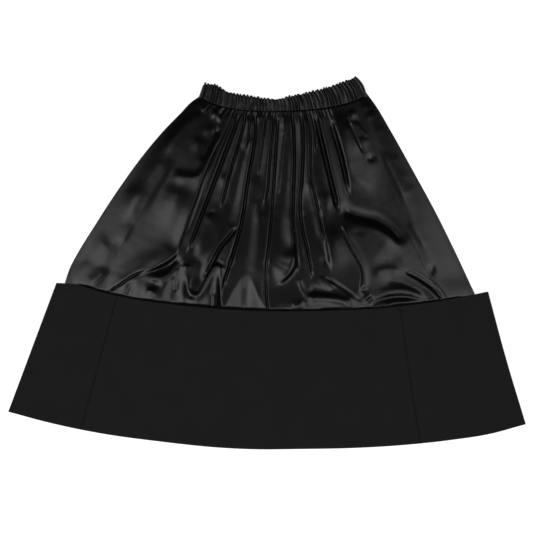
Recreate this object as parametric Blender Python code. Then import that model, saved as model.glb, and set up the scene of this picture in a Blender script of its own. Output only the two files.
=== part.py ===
"""A gathered satin skirt with a wide stiff hem band, laid flat on a table.

Frame: metres, +Z up. X runs across the skirt, +Y points from the hem to the waist, and the table is z = 0.
Left and right are as seen from above with the waist at the top. Every size below is in millimetres.

The skirt is a tube that lies closed: its back rests on the table and its front rests on the back. From the waist
down the maker's pieces are the elastic waistband, four satin panels (front, back and two side panels that turn
round the sides) and four panels of the hem band, which stands outside the satin and hides its lower edge.
"""

from collections import namedtuple

import bpy
import numpy as np

MM = 0.001

# Cloth
SATIN = 1.2  # wall of the satin body
BAND = 2.0  # wall of the stiff hem band, two cloths and their interlining
CASING = 3.0  # wall of the waistband: folded satin round its elastic
SEAM_GAP = 0.3  # between two pieces that are sewn or lie together
WAIST_GAP = 0.6  # between the casing and the satin gathered on to it, before the facets of their rims
SLIT = 0.6  # between the front and the back where the tube lies closed

# Levels above the table
SATIN_CLOSED = 2 * SATIN + SLIT
CASING_CLOSED = 2 * CASING + SLIT
TUCK_LEVEL = BAND + SEAM_GAP  # underside of the satin where it lies inside the band
BAND_CLOSED = 2 * BAND + 2 * SEAM_GAP + SATIN_CLOSED
HEM_CLOSED = 2 * BAND + SLIT  # at the hem, below the satin, the band lies shut

# Outlines, as (x, y) points from left to right, or from top to bottom on a side
WAIST_TOP = [(-123, 342), (-104, 341), (-71, 326), (-33, 318.5), (15, 313.5), (63, 322.5), (121, 336.5), (173, 357)]
WAIST_SEAM = [
    (-131.5, 317), (-106, 306), (-81, 299), (-33, 292.5), (25, 291.5), (63, 293), (102, 296), (140, 302.5),
    (173, 312.5), (192, 322),
]
CASING_LEFT = [WAIST_TOP[0], (-127.5, 329), WAIST_SEAM[0]]
CASING_RIGHT = [WAIST_TOP[-1], (183.5, 344.5), WAIST_SEAM[-1]]
BODY_LEFT = [
    (-136, 316), (-143.5, 311), (-165, 289), (-199, 254), (-230, 217.5), (-286, 141), (-336, 64), (-360, 25.5),
    (-380, -13), (-388, -38.2),
]
BODY_RIGHT = [(194.5, 322), (205, 308), (237.5, 254), (280, 178), (322, 101), (360, 24.5), (399, -59.4)]
BAND_TOP = [
    (-404, -37.5), (-369, -40), (-321, -53.5), (-263, -67), (-167, -80), (-90, -87), (15, -91.5), (121, -90),
    (198, -87), (255, -82), (332, -71.5), (399, -59.4), (424, -54),
]
BAND_HEM = [
    (-496.5, -284.5), (-436, -301), (-321, -325), (-205, -340.5), (-90, -352), (-23, -355), (63, -354.5),
    (159, -353), (255, -348), (351, -338.5), (428, -327), (496.5, -308.5),
]
BAND_LEFT = [BAND_TOP[0], BAND_HEM[0]]
BAND_RIGHT = [BAND_TOP[-1], (454.5, -168), BAND_HEM[-1]]
BACK_HEM_DROP = 2.0  # the back of the hem shows this far below the front at its middle

# Seams, as shares of the front's width from left to right
BODY_SEAMS = namedtuple("BodySeams", "stations left right")(
    stations=(0.0, 0.25, 0.5, 0.75, 1.0),
    left=(0.115, 0.116, 0.110, 0.100, 0.075),
    right=(0.900, 0.896, 0.893, 0.900, 0.922),
)
BAND_SEAMS = (0.143, 0.795)

BAND_SETTLE = (0.3, 0.75)  # shares of the band's depth over which its front comes down past the tucked satin
TUCK = 0.12  # the satin runs on this share of its own length below the band's top edge

# Gathers of the front. A row is one fold: where its crest runs, as a share of the width, at each station from the
# waist (0) to the band (1), and how far it stands above the valleys at the waist, half way and at the band.
STATIONS = (0.0, 0.25, 0.5, 0.75, 1.0)
Gather = namedtuple("Gather", "crest rise")
GATHERS = [
    Gather((0.146, 0.165, 0.168, 0.150, 0.140), (2.5, 3.0, 3.0)),
    Gather((0.176, 0.196, 0.200, 0.196, 0.190), (2.8, 2.0, 3.5)),
    Gather((0.200, 0.228, 0.226, 0.226, 0.222), (3.4, 3.0, 4.0)),
    Gather((0.236, 0.256, 0.253, 0.251, 0.250), (3.2, 4.5, 6.0)),
    Gather((0.262, 0.276, 0.270, 0.268, 0.282), (3.6, 5.5, 6.5)),
    Gather((0.290, 0.312, 0.315, 0.311, 0.302), (3.8, 6.0, 5.0)),
    Gather((0.314, 0.340, 0.346, 0.337, 0.330), (3.4, 4.5, 5.0)),
    Gather((0.336, 0.370, 0.387, 0.381, 0.366), (4.0, 7.0, 8.0)),
    Gather((0.368, 0.392, 0.398, 0.398, 0.396), (3.2, 2.5, 2.0)),
    Gather((0.400, 0.416, 0.429, 0.440, 0.438), (4.0, 6.5, 9.0)),
    Gather((0.430, 0.446, 0.459, 0.462, 0.460), (3.4, 4.0, 5.5)),
    Gather((0.460, 0.477, 0.487, 0.482, 0.478), (3.8, 6.0, 4.5)),
    Gather((0.490, 0.503, 0.508, 0.508, 0.505), (3.2, 3.5, 3.0)),
    Gather((0.518, 0.530, 0.529, 0.527, 0.526), (4.4, 3.0, 6.0)),
    Gather((0.555, 0.557, 0.553, 0.543, 0.548), (3.8, 6.5, 5.0)),
    Gather((0.592, 0.585, 0.577, 0.592, 0.600), (3.4, 6.0, 5.5)),
    Gather((0.624, 0.621, 0.624, 0.641, 0.640), (3.8, 6.5, 5.0)),
    Gather((0.646, 0.642, 0.644, 0.656, 0.662), (3.0, 3.0, 3.5)),
    Gather((0.668, 0.664, 0.668, 0.676, 0.690), (3.8, 5.0, 5.0)),
    Gather((0.692, 0.703, 0.716, 0.742, 0.752), (4.0, 7.0, 7.0)),
    Gather((0.724, 0.734, 0.748, 0.768, 0.780), (3.2, 2.5, 4.0)),
    Gather((0.756, 0.768, 0.780, 0.792, 0.806), (3.0, 2.5, 4.0)),
    Gather((0.790, 0.804, 0.812, 0.826, 0.836), (3.4, 3.5, 3.0)),
    Gather((0.832, 0.838, 0.846, 0.856, 0.870), (2.8, 3.0, 2.5)),
    Gather((0.866, 0.868, 0.870, 0.878, 0.896), (2.6, 2.5, 2.0)),
]

# Sweeps: broad folds and creases that run across the gathers. A row is one stroke: its path as (share of the
# width, share of the length), its rise at the middle (negative for a trough) and half its width.
Sweep = namedtuple("Sweep", "path rise spread")
SWEEP_ENDS = (0.04, 0.96)  # a stroke begins and ends at this share of its half-round fade
SWEEPS = [
    Sweep([(0.246, 0.66), (0.240, 0.76), (0.190, 0.84), (0.140, 0.93), (0.105, 1.0)], -5.0, 13),
    Sweep([(0.252, 0.83), (0.236, 0.875), (0.170, 0.89), (0.120, 0.98)], 4.0, 13),
    Sweep([(0.730, 0.46), (0.770, 0.54), (0.850, 0.62), (0.880, 0.71)], -4.5, 19),
    Sweep([(0.715, 0.55), (0.780, 0.605), (0.845, 0.65), (0.862, 0.72)], 3.5, 17),
    Sweep([(0.855, 0.845), (0.900, 0.90), (0.922, 0.98)], -3.0, 13),
    Sweep([(0.790, 0.855), (0.840, 0.89), (0.897, 0.97)], -3.0, 13),
    Sweep([(0.655, 0.85), (0.690, 0.91), (0.724, 0.98)], -3.5, 13),
    Sweep([(0.390, 0.60), (0.362, 0.75), (0.330, 0.89)], -4.5, 13),
    Sweep([(0.120, 0.47), (0.180, 0.475), (0.245, 0.465)], -2.5, 18),
    Sweep([(0.145, 0.52), (0.200, 0.55), (0.240, 0.56)], 2.5, 20),
    Sweep([(0.440, 0.86), (0.436, 0.93), (0.432, 1.0)], 4.0, 34),
    Sweep([(0.545, 0.74), (0.525, 0.86)], 3.5, 24),
    Sweep([(0.566, 0.83), (0.540, 0.90), (0.512, 0.98)], -4.0, 15),
]

LOFT = 7.0  # the satin stands this much higher where it bells over the band
LOFT_DOWN = (0.55, 0.93)  # shares of the length between which it rises to that
LOFT_IN = (0.02, 0.28)  # and shares of the width in from a side
BULK = 1.5  # and this much all over, where the gathers keep the front off the back
EDGE_FADE = 0.05  # folds die out over this share of the width next to a side
BAND_ENTRY = (0.955, 1.0)  # shares of the length over which the front comes down into the band
CLIMB = (0.95, 0.995)  # and over which the satin climbs from the table on to the band's back
STEEPEST = 1.5  # the slope past which a fold's wall is made no thicker

# Rows and columns of the meshes
BODY_ROWS = (0, 0.05, 0.13, 0.23, 0.34, 0.45, 0.54, 0.63, 0.72, 0.80, 0.87, 0.92, 0.955, 0.98, 1.0, 1.03, 1 + TUCK)
FOLD_STEPS = (0.0, 0.27, 0.5, 0.73)  # columns from one crest to the next, the middle one in the valley
BAND_ROWS = (0.0, 0.04, 0.25, 0.5, 0.75, 0.96, 1.0)
BAND_COLUMNS = 18
SIDE_COLUMNS = 4
BACK_COLUMNS = 12
TURN_STEPS = 4  # facets round a side fold
CASING_ROWS = (0.0, 0.2, 0.8, 1.0)
RIBS = 44  # gathers across the front of the elastic waistband
RIB_RISE = 1.5
RIB_DRIFT, RIB_JITTER = 0.35, 0.25  # slow and quick unevenness of their places, in half ribs
RIB_SWELL = (0.6, 1.0, 1.0, 0.7)  # share of its rise that a rib has at each of CASING_ROWS
RIB_LIP = 0.8  # share of its rise by which a rib pushes the top edge outwards
CASING_BACK_COLUMNS = 10

SATIN_BLACK = (0.010, 0.0095, 0.0105, 1.0)
BAND_BLACK = (0.0095, 0.009, 0.010, 1.0)


def along(stations, values, at):
    """Smooth values between stations: a cubic through the rows of values, read at the shares in at."""
    stations, values = np.asarray(stations, float), np.asarray(values, float)
    slopes = np.gradient(values, stations, axis=0)
    at = np.asarray(at, float)
    k = np.clip(np.searchsorted(stations, at, side="right") - 1, 0, len(stations) - 2)
    span = stations[k + 1] - stations[k]
    u = (at - stations[k]) / span
    if values.ndim > 1:
        u, span = u[..., None], span[..., None]
    start, end = values[k], values[k + 1]
    leave, arrive = slopes[k] * span, slopes[k + 1] * span
    return (
        start * (1 - u) ** 2 * (1 + 2 * u) + leave * u * (1 - u) ** 2
        + end * u**2 * (3 - 2 * u) - arrive * u**2 * (1 - u)
    )


def outline(points):
    """A smooth line through points, as a function of the share of its length."""
    points = np.asarray(points, float)
    length = np.concatenate([[0], np.cumsum(np.linalg.norm(np.diff(points, axis=0), axis=1))])
    return lambda share: along(length / length[-1], points, share)


def patch(top, foot, left, right):
    """The place (x, y) of each (across, down) share inside four outlines that meet at their ends."""
    corners = top(0.0), top(1.0), foot(0.0), foot(1.0)

    def inside(across, down):
        across, down = np.broadcast_arrays(np.asarray(across, float), np.asarray(down, float))
        s, d = across[..., None], down[..., None]
        flat = (1 - s) * (1 - d) * corners[0] + s * (1 - d) * corners[1] + (1 - s) * d * corners[2] + s * d * corners[3]
        return (1 - d) * top(across) + d * foot(across) + (1 - s) * left(down) + s * right(down) - flat

    return inside


def share_at_x(line, x):
    """The share of a line's length where it crosses x."""
    shares = np.linspace(0, 1, 401)
    return np.interp(x, line(shares)[:, 0], shares)


def part_of(line, start, end):
    """The stretch of a line from share start to share end."""
    return lambda share: line(start + (end - start) * np.asarray(share, float))


def smoothstep(low, high, value):
    t = np.clip((np.asarray(value, float) - low) / (high - low), 0, 1)
    return t * t * (3 - 2 * t)


BAND_EDGE = outline(BAND_TOP)
BODY_FOOT = part_of(BAND_EDGE, share_at_x(BAND_EDGE, BODY_LEFT[-1][0]), share_at_x(BAND_EDGE, BODY_RIGHT[-1][0]))
BODY_WAIST = outline([BODY_LEFT[0], *WAIST_SEAM, BODY_RIGHT[0]])
BODY_PATCH = patch(BODY_WAIST, BODY_FOOT, outline(BODY_LEFT), outline(BODY_RIGHT))


def body_place(across, down):
    """(x, y) on the satin. Below the band's edge, past down = 1, it runs straight on."""
    across, down = np.broadcast_arrays(np.asarray(across, float), np.asarray(down, float))
    before = 0.03
    seen = BODY_PATCH(across, np.minimum(down, 1))
    run = (BODY_PATCH(across, np.ones_like(down)) - BODY_PATCH(across, np.full_like(down, 1 - before))) / before
    return seen + np.maximum(down - 1, 0)[..., None] * run


def gather_height(across, down):
    """Height of the gathers alone: round crests and narrow valleys between neighbouring rows of GATHERS."""
    across, down = np.broadcast_arrays(np.asarray(across, float), np.asarray(down, float))
    shown = np.minimum(down, 1)
    crests = np.stack([along(STATIONS, g.crest, shown) for g in fold_lines()])
    rises = np.stack([along((0, 0.5, 1), g.rise, shown) for g in fold_lines()])
    height = np.zeros(across.shape)
    for left, right, low, high in zip(crests[:-1], crests[1:], rises[:-1], rises[1:]):
        u = (across - left) / (right - left)
        inside = (u >= 0) & (u <= 1)
        wave = np.abs(np.cos(np.pi * u)) * (low + (high - low) * u)
        height = np.where(inside, wave, height)
    return height


def fold_lines():
    """The crests between the two front seams, with the seams themselves as the outermost, lowest ones."""
    left = Gather(BODY_SEAMS.left, (1.0, 1.0, 1.0))
    right = Gather(BODY_SEAMS.right, (1.0, 1.0, 1.0))
    return [left, *GATHERS, right]


def sweep_height(across, down):
    """Height that the sweeps add at a place on the satin."""
    place = body_place(across, down)
    height = np.zeros(place.shape[:-1])
    steps = np.linspace(0, 1, 25)
    for sweep in SWEEPS:
        stops = along(np.linspace(0, 1, len(sweep.path)), sweep.path, steps)
        line = body_place(stops[:, 0], stops[:, 1])
        far = np.linalg.norm(place[..., None, :] - line, axis=-1)
        nearest = far.argmin(axis=-1)
        across_path = np.clip(far.min(axis=-1) / sweep.spread, 0, 1)
        fade = np.sin(np.pi * np.interp(steps[nearest], (0, 1), SWEEP_ENDS)) ** 0.5
        height += sweep.rise * fade * np.cos(np.pi / 2 * across_path) ** 2
    return height


def front_top(across, down):
    """Level of the satin front's upper side."""
    across, down = np.broadcast_arrays(np.asarray(across, float), np.asarray(down, float))
    open_satin = 1 - smoothstep(*BAND_ENTRY, down)
    from_side = smoothstep(0, EDGE_FADE, across) * smoothstep(0, EDGE_FADE, 1 - across)
    middle = smoothstep(*LOFT_IN, across) * smoothstep(*LOFT_IN, 1 - across)
    loft = LOFT * middle * smoothstep(*LOFT_DOWN, down) + BULK
    folds = gather_height(across, down) + sweep_height(across, down) + loft
    return tuck_level(down) + SATIN_CLOSED + np.maximum(folds, 0) * open_satin * from_side


def tuck_level(down):
    """Level of the satin's underside: the table, then up on to the band's back panel."""
    return TUCK_LEVEL * smoothstep(*CLIMB, down)


def wall_below(top, across, down, thickness, floor):
    """The level of a wall's lower side, square to the slope of its upper side and no lower than floor."""
    step = 0.002
    across, down = np.broadcast_arrays(np.asarray(across, float), np.asarray(down, float))
    aside, below = body_place(across + step, down), body_place(across, down + step)
    here = body_place(across, down)
    climb_across = (top(across + step, down) - top(across, down)) / np.linalg.norm(aside - here, axis=-1)
    climb_down = (top(across, down + step) - top(across, down)) / np.linalg.norm(below - here, axis=-1)
    slope = np.minimum(np.hypot(climb_across, climb_down), STEEPEST)
    return np.maximum(top(across, down) - thickness * np.sqrt(1 + slope**2), floor)


def points(place, level):
    """(x, y, z) from a place and a level of the same shape."""
    level = np.broadcast_to(level, place.shape[:-1])
    return np.concatenate([place, level[..., None]], axis=-1)


def turn(place, inward, centre_level, radius, thickness):
    """Outer and inner points round a side fold, from its top to its underside, for each row."""
    angles = np.linspace(np.pi / 2, -np.pi / 2, TURN_STEPS + 1)
    centre = place + inward * radius[:, None]

    def arc(r):
        sideways = centre[:, None, :] - inward[:, None, :] * (r[:, None] * np.cos(angles))[..., None]
        return points(sideways, centre_level[:, None] + r[:, None] * np.sin(angles))

    return arc(radius), arc(radius - thickness)


def inward_of(edge, inner):
    """Unit vectors from a side edge into the piece."""
    way = inner - edge
    return way / np.linalg.norm(way, axis=-1, keepdims=True)


def solid(name, outer, inner, material, ring=False):
    """A closed wall between two grids of points, rows by columns. A ring's last column meets its first."""
    rows, columns = outer.shape[:2]
    vertices = np.concatenate([outer.reshape(-1, 3), inner.reshape(-1, 3)]) * MM
    index = np.arange(rows * columns).reshape(rows, columns)
    if ring:
        index = np.concatenate([index, index[:, :1]], axis=1)
    under = index + rows * columns

    def quads(a, b, c, d):
        return np.stack([a.ravel(), b.ravel(), c.ravel(), d.ravel()], axis=1)

    faces = [
        quads(index[:-1, :-1], index[1:, :-1], index[1:, 1:], index[:-1, 1:]),
        quads(under[:-1, :-1], under[:-1, 1:], under[1:, 1:], under[1:, :-1]),
        quads(index[0, :-1], index[0, 1:], under[0, 1:], under[0, :-1]),
        quads(index[-1, 1:], index[-1, :-1], under[-1, :-1], under[-1, 1:]),
    ]
    if not ring:
        faces.append(quads(index[1:, 0], index[:-1, 0], under[:-1, 0], under[1:, 0]))
        faces.append(quads(index[:-1, -1], index[1:, -1], under[1:, -1], under[:-1, -1]))
    mesh = bpy.data.meshes.new(name)
    mesh.from_pydata(vertices.tolist(), [], np.concatenate(faces).tolist())
    mesh.validate()
    mesh.materials.append(material)
    mesh.shade_smooth()
    mesh.set_sharp_from_angle(angle=np.radians(50))
    made = bpy.data.objects.new(name, mesh)
    bpy.context.scene.collection.objects.link(made)
    return made


def body_front(satin):
    """The gathered front between its two seams. Its columns follow the crests and valleys of the folds."""
    rows = np.array(BODY_ROWS)
    shown = np.minimum(rows, 1)
    crests = np.stack([along(STATIONS, g.crest, shown) for g in fold_lines()], axis=1)
    gap = SEAM_GAP / 2 / row_widths(rows)
    crests[:, 0] += gap
    crests[:, -1] -= gap
    columns = [crests[:, :-1] + step * np.diff(crests, axis=1) for step in FOLD_STEPS]
    across = np.concatenate([np.stack(columns, axis=2).reshape(len(rows), -1), crests[:, -1:]], axis=1)
    down = np.broadcast_to(rows[:, None], across.shape)
    return front_wall("body_front", across, down, satin)


def front_wall(name, across, down, satin):
    place = body_place(across, down)
    floor = tuck_level(down) + SATIN + SLIT
    outer = points(place, np.maximum(front_top(across, down), floor + SATIN))
    inner = points(place, wall_below(front_top, across, down, SATIN, floor))
    return solid(name, outer, inner, satin)


def row_widths(rows):
    return np.linalg.norm(body_place(1.0, rows) - body_place(0.0, rows), axis=-1)


def seam_shares(rows, seam):
    return along(BODY_SEAMS.stations, seam, np.minimum(rows, 1))


def body_back(satin):
    """The back lies flat on the table and then on the band's back panel."""
    rows = np.array(BODY_ROWS)
    gap = SEAM_GAP / 2 / row_widths(rows)
    left, right = seam_shares(rows, BODY_SEAMS.left) + gap, seam_shares(rows, BODY_SEAMS.right) - gap
    across = left[:, None] + (right - left)[:, None] * np.linspace(0, 1, BACK_COLUMNS + 1)
    place = body_place(across, rows[:, None])
    level = tuck_level(rows)[:, None]
    return solid("body_back", points(place, level + SATIN), points(place, level), satin)


def body_side(name, seam, edge_share, satin):
    """A side panel, from the front seam round the side fold to the back seam."""
    rows = np.array(BODY_ROWS)
    away = 1 if edge_share == 0 else -1
    radius = np.full(len(rows), SATIN_CLOSED / 2)
    widths = row_widths(rows)
    seam_share = seam_shares(rows, seam) - away * SEAM_GAP / 2 / widths
    turn_share = edge_share + away * radius / widths
    steps = np.linspace(0, 1, SIDE_COLUMNS + 1)
    across = seam_share[:, None] + (turn_share - seam_share)[:, None] * steps
    down = np.broadcast_to(rows[:, None], across.shape)
    place, level = body_place(across, down), tuck_level(down)
    floor = level + SATIN + SLIT
    top = points(place, front_top(across, down))
    top_under = points(place, wall_below(front_top, across, down, SATIN, floor))
    edge = body_place(np.full(len(rows), float(edge_share)), rows)
    inward = inward_of(edge, place[:, -1])
    outer_turn, inner_turn = turn(edge, inward, tuck_level(rows) + radius, radius, SATIN)
    foot, foot_over = points(place, level)[:, ::-1], points(place, level + SATIN)[:, ::-1]
    outer = np.concatenate([top[:, :-1], outer_turn, foot[:, 1:]], axis=1)
    inner = np.concatenate([top_under[:, :-1], inner_turn, foot_over[:, 1:]], axis=1)
    if away > 0:
        outer, inner = outer[:, ::-1], inner[:, ::-1]
    return solid(name, outer, inner, satin)


BAND_FOOT = outline(BAND_HEM)
BAND_PATCH = patch(BAND_EDGE, BAND_FOOT, outline(BAND_LEFT), outline(BAND_RIGHT))


def band_closed(down):
    """Height of the closed band above the table, lower where no satin lies inside it."""
    return BAND_CLOSED + (HEM_CLOSED - BAND_CLOSED) * smoothstep(*BAND_SETTLE, down)


def band_place(across, down, drop=0.0):
    """(x, y) on the band; drop lowers the hem's middle."""
    place = BAND_PATCH(across, down)
    across, down = np.broadcast_arrays(np.asarray(across, float), np.asarray(down, float))
    lower = drop * down**2 * np.sin(np.pi * across)
    return place - np.stack([np.zeros_like(lower), lower], axis=-1)


def band_panel(name, start, end, cloth, back=False):
    """The front or back panel of the band between its seams at two shares of its width."""
    rows = np.array(BAND_ROWS)
    widths = np.linalg.norm(band_place(1.0, rows) - band_place(0.0, rows), axis=-1)
    gap = (SEAM_GAP / 2 / widths)[:, None]
    across = (start + gap) + (end - start - 2 * gap) * np.linspace(0, 1, BAND_COLUMNS + 1)
    place = band_place(across, rows[:, None], BACK_HEM_DROP if back else 0.0)
    top = np.full(len(rows), BAND) if back else band_closed(rows)
    return solid(name, points(place, top[:, None]), points(place, top[:, None] - BAND), cloth)


def band_side(name, seam, edge_share, cloth):
    """A side panel of the band, from the front seam round the side to the back seam."""
    rows = np.array(BAND_ROWS)
    away = 1 if edge_share == 0 else -1
    closed = band_closed(rows)
    radius = closed / 2
    widths = np.linalg.norm(band_place(1.0, rows) - band_place(0.0, rows), axis=-1)
    start = seam - away * SEAM_GAP / 2 / widths
    turn_share = edge_share + away * radius / widths
    across = start[:, None] + (turn_share - start)[:, None] * np.linspace(0, 1, SIDE_COLUMNS + 1)
    front_place = band_place(across, rows[:, None])
    back_place = band_place(across, rows[:, None], BACK_HEM_DROP)
    edge = band_place(np.full(len(rows), float(edge_share)), rows)
    outer_turn, inner_turn = turn(edge, inward_of(edge, front_place[:, -1]), radius, radius, BAND)
    top = closed[:, None]
    outer = [points(front_place, top)[:, :-1], outer_turn, points(back_place, 0.0)[:, -2::-1]]
    inner = [points(front_place, top - BAND)[:, :-1], inner_turn, points(back_place, BAND)[:, -2::-1]]
    outer, inner = np.concatenate(outer, axis=1), np.concatenate(inner, axis=1)
    if away > 0:
        outer, inner = outer[:, ::-1], inner[:, ::-1]
    return solid(name, outer, inner, cloth)


def rib_shares():
    """Where the elastic's ribs stand across the front, unevenly, with the valleys between them."""
    k = np.arange(2 * RIBS + 1)
    shifted = (k + RIB_DRIFT * np.sin(1.3 * k) + RIB_JITTER * np.sin(2.9 * k + 1)) / (2 * RIBS)
    return np.clip((shifted - shifted[0]) / (shifted[-1] - shifted[0]), 0, 1)


def waistband(satin):
    """The elastic waistband: one strip sewn into a ring, ribbed on its front and flat on the table."""
    rows = np.array(CASING_ROWS)
    top_edge = outline(WAIST_TOP)
    seam_edge = part_of(BODY_WAIST, *(share_at_x(BODY_WAIST, end[0]) for end in (WAIST_SEAM[0], WAIST_SEAM[-1])))
    place_at = patch(top_edge, seam_edge, outline(CASING_LEFT), outline(CASING_RIGHT))
    heights = np.linalg.norm(place_at(0.5, 1.0) - place_at(0.5, 0.0))
    reach = 1 - WAIST_GAP / heights
    widths = np.linalg.norm(place_at(1.0, rows) - place_at(0.0, rows), axis=-1)
    radius = np.full(len(rows), CASING_CLOSED / 2)
    margin = (radius / widths)[:, None]
    shares = rib_shares()
    front = margin + (1 - 2 * margin) * shares
    down = rows[:, None] * reach
    k = np.arange(len(shares))
    rib = np.where(k % 2, RIB_RISE * (0.75 + 0.25 * np.sin(2.3 * k)), 0.0)
    rib[:2], rib[-2:] = 0, 0
    swell = np.array(RIB_SWELL)[:, None]
    front_place = place_at(front, down)
    front_place[0, :, 1] += RIB_LIP * rib
    front_top_points = points(front_place, CASING_CLOSED + rib * swell)
    front_under = points(front_place, CASING_CLOSED - CASING)
    back = margin + (1 - 2 * margin) * np.linspace(1, 0, CASING_BACK_COLUMNS + 1)
    back_place = place_at(back, down)
    back_foot, back_over = points(back_place, 0.0), points(back_place, CASING)
    turns = []
    for share, column in ((1.0, -1), (0.0, 0)):
        edge = place_at(np.full(len(rows), share), down[:, 0])
        turns.append(turn(edge, inward_of(edge, front_place[:, column]), radius, radius, CASING))
    (right_out, right_in), (left_out, left_in) = turns
    outer = [front_top_points[:, 1:-1], right_out, back_foot[:, 1:-1], left_out[:, ::-1]]
    inner = [front_under[:, 1:-1], right_in, back_over[:, 1:-1], left_in[:, ::-1]]
    return solid("waistband", np.concatenate(outer, axis=1), np.concatenate(inner, axis=1), satin, ring=True)


def cloth_material(name, colour, roughness):
    material = bpy.data.materials.new(name)
    material.use_nodes = True
    shader = material.node_tree.nodes["Principled BSDF"]
    shader.inputs["Base Color"].default_value = colour
    shader.inputs["Roughness"].default_value = roughness
    shader.inputs["Metallic"].default_value = 0.0
    return material


def main():
    for old in list(bpy.data.objects):
        bpy.data.objects.remove(old)
    satin = cloth_material("black_satin", SATIN_BLACK, 0.38)
    cloth = cloth_material("black_wool_gabardine", BAND_BLACK, 0.85)
    skirt = bpy.data.objects.new("skirt", None)
    bpy.context.scene.collection.objects.link(skirt)
    made = [
        waistband(satin),
        body_front(satin),
        body_back(satin),
        body_side("body_side_left", BODY_SEAMS.left, 0, satin),
        body_side("body_side_right", BODY_SEAMS.right, 1, satin),
        band_panel("band_front", *BAND_SEAMS, cloth),
        band_panel("band_back", *BAND_SEAMS, cloth, back=True),
        band_side("band_side_left", BAND_SEAMS[0], 0, cloth),
        band_side("band_side_right", BAND_SEAMS[1], 1, cloth),
    ]
    for piece in made:
        piece.parent = skirt


main()
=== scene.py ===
"""The looks of a gathered satin skirt laid flat: satin body, ribbed elastic waist and matte hem band.

Left and right are as seen from above with the waist at the top. Outlines are in millimetres. Folds and
creases are in shares of the satin's width, across from its left side, and of its length, down to the band.
"""

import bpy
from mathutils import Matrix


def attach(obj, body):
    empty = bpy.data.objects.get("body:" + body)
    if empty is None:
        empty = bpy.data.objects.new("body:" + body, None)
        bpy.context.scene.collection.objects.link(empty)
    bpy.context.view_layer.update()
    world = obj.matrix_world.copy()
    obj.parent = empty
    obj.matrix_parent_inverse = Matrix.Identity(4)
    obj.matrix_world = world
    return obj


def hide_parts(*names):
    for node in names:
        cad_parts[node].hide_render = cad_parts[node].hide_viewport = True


bl_info = {
    "name": "Gathered Skirt",
    "version": (1, 0, 0),
    "blender": (4, 5, 0),
    "location": "View3D > Sidebar > Skirt",
    "description": "Makes the cloth, stitching and stage of a gathered skirt that lies flat",
    "category": "Add Mesh",
}

from collections import namedtuple

import bpy
import numpy as np
from bpy.props import FloatProperty, IntProperty, PointerProperty, StringProperty

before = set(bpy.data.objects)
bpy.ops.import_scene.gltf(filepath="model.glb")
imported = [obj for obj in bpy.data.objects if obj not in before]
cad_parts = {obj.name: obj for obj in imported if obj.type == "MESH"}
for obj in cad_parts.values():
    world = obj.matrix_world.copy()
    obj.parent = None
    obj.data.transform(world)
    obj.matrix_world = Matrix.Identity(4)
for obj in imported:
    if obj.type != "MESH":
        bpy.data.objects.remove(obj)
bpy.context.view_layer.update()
MM = 0.001

# Outlines in mm, left to right along the edges that run across, and top to bottom down the sides
WAIST_TOP = [
    (-123, 342), (-104, 341), (-71, 326), (-33, 318.5), (15, 313.5), (63, 322.5), (121, 336.5), (173, 357),
]
WAIST_SEAM = [
    (-131.5, 317), (-106, 306), (-81, 299), (-33, 292.5), (25, 291.5), (63, 293), (102, 296), (140, 302.5),
    (173, 312.5), (192, 322),
]
CASING_LEFT = [WAIST_TOP[0], (-127.5, 329), WAIST_SEAM[0]]
CASING_RIGHT = [WAIST_TOP[-1], (183.5, 344.5), WAIST_SEAM[-1]]
BODY_LEFT = [
    (-136, 316), (-143.5, 311), (-165, 289), (-199, 254), (-230, 217.5), (-286, 141), (-336, 64),
    (-360, 25.5), (-380, -13), (-388, -38.2),
]
BODY_RIGHT = [(194.5, 322), (205, 308), (237.5, 254), (280, 178), (322, 101), (360, 24.5), (399, -59.4)]
BAND_TOP = [
    (-404, -37.5), (-369, -40), (-321, -53.5), (-263, -67), (-167, -80), (-90, -87), (15, -91.5), (121, -90),
    (198, -87), (255, -82), (332, -71.5), (399, -59.4), (424, -54),
]
BAND_HEM = [
    (-496.5, -284.5), (-436, -301), (-321, -325), (-205, -340.5), (-90, -352), (-23, -355), (63, -354.5),
    (159, -353), (255, -348), (351, -338.5), (428, -327), (496.5, -308.5),
]
BAND_LEFT = [BAND_TOP[0], BAND_HEM[0]]
BAND_RIGHT = [BAND_TOP[-1], (454.5, -168), BAND_HEM[-1]]
BAND_DEPTH = 270  # mm at its middle
BACK_HEM_DROP = 2.0  # mm by which the back's hem shows below the front's, at its middle

# Seams as shares of the width: the satin's at five stations down it, and the band's
STATIONS = (0.0, 0.25, 0.5, 0.75, 1.0)
SEAM_LEFT = (0.115, 0.116, 0.110, 0.100, 0.075)
SEAM_RIGHT = (0.900, 0.896, 0.893, 0.900, 0.922)
BAND_SEAMS = (0.143, 0.795)
SEAM_GAP = 0.04  # mm between two panels
SEAM_TURN = (0.25, 0.7)  # mm in which the satin turns in at its left and at its right seam
SEAM_PRESS = (0.006, 0.5)  # the share of its width over which the band is pressed down at a seam, and mm down
STITCH_DOWN = 0.031  # where the row of stitches runs under the band's top edge, as a share of its depth
STITCH_IN = 0.012  # and how far from the sides it ends
STITCH_DIP = (0.9, 0.4)  # mm to each side over which it draws the cloth in, and mm down
BAND_LIP = (1.2, 0.8)  # mm over which the band's folded edges are rounded, and mm down
BAND_THINS = (0.3, 0.75)  # where the closed band gets thinner towards its hem, as shares of its depth
BAND_CALM = (0.03, 0.02)  # the shares of its depth and of its width over which it evens out at its rims

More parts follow.
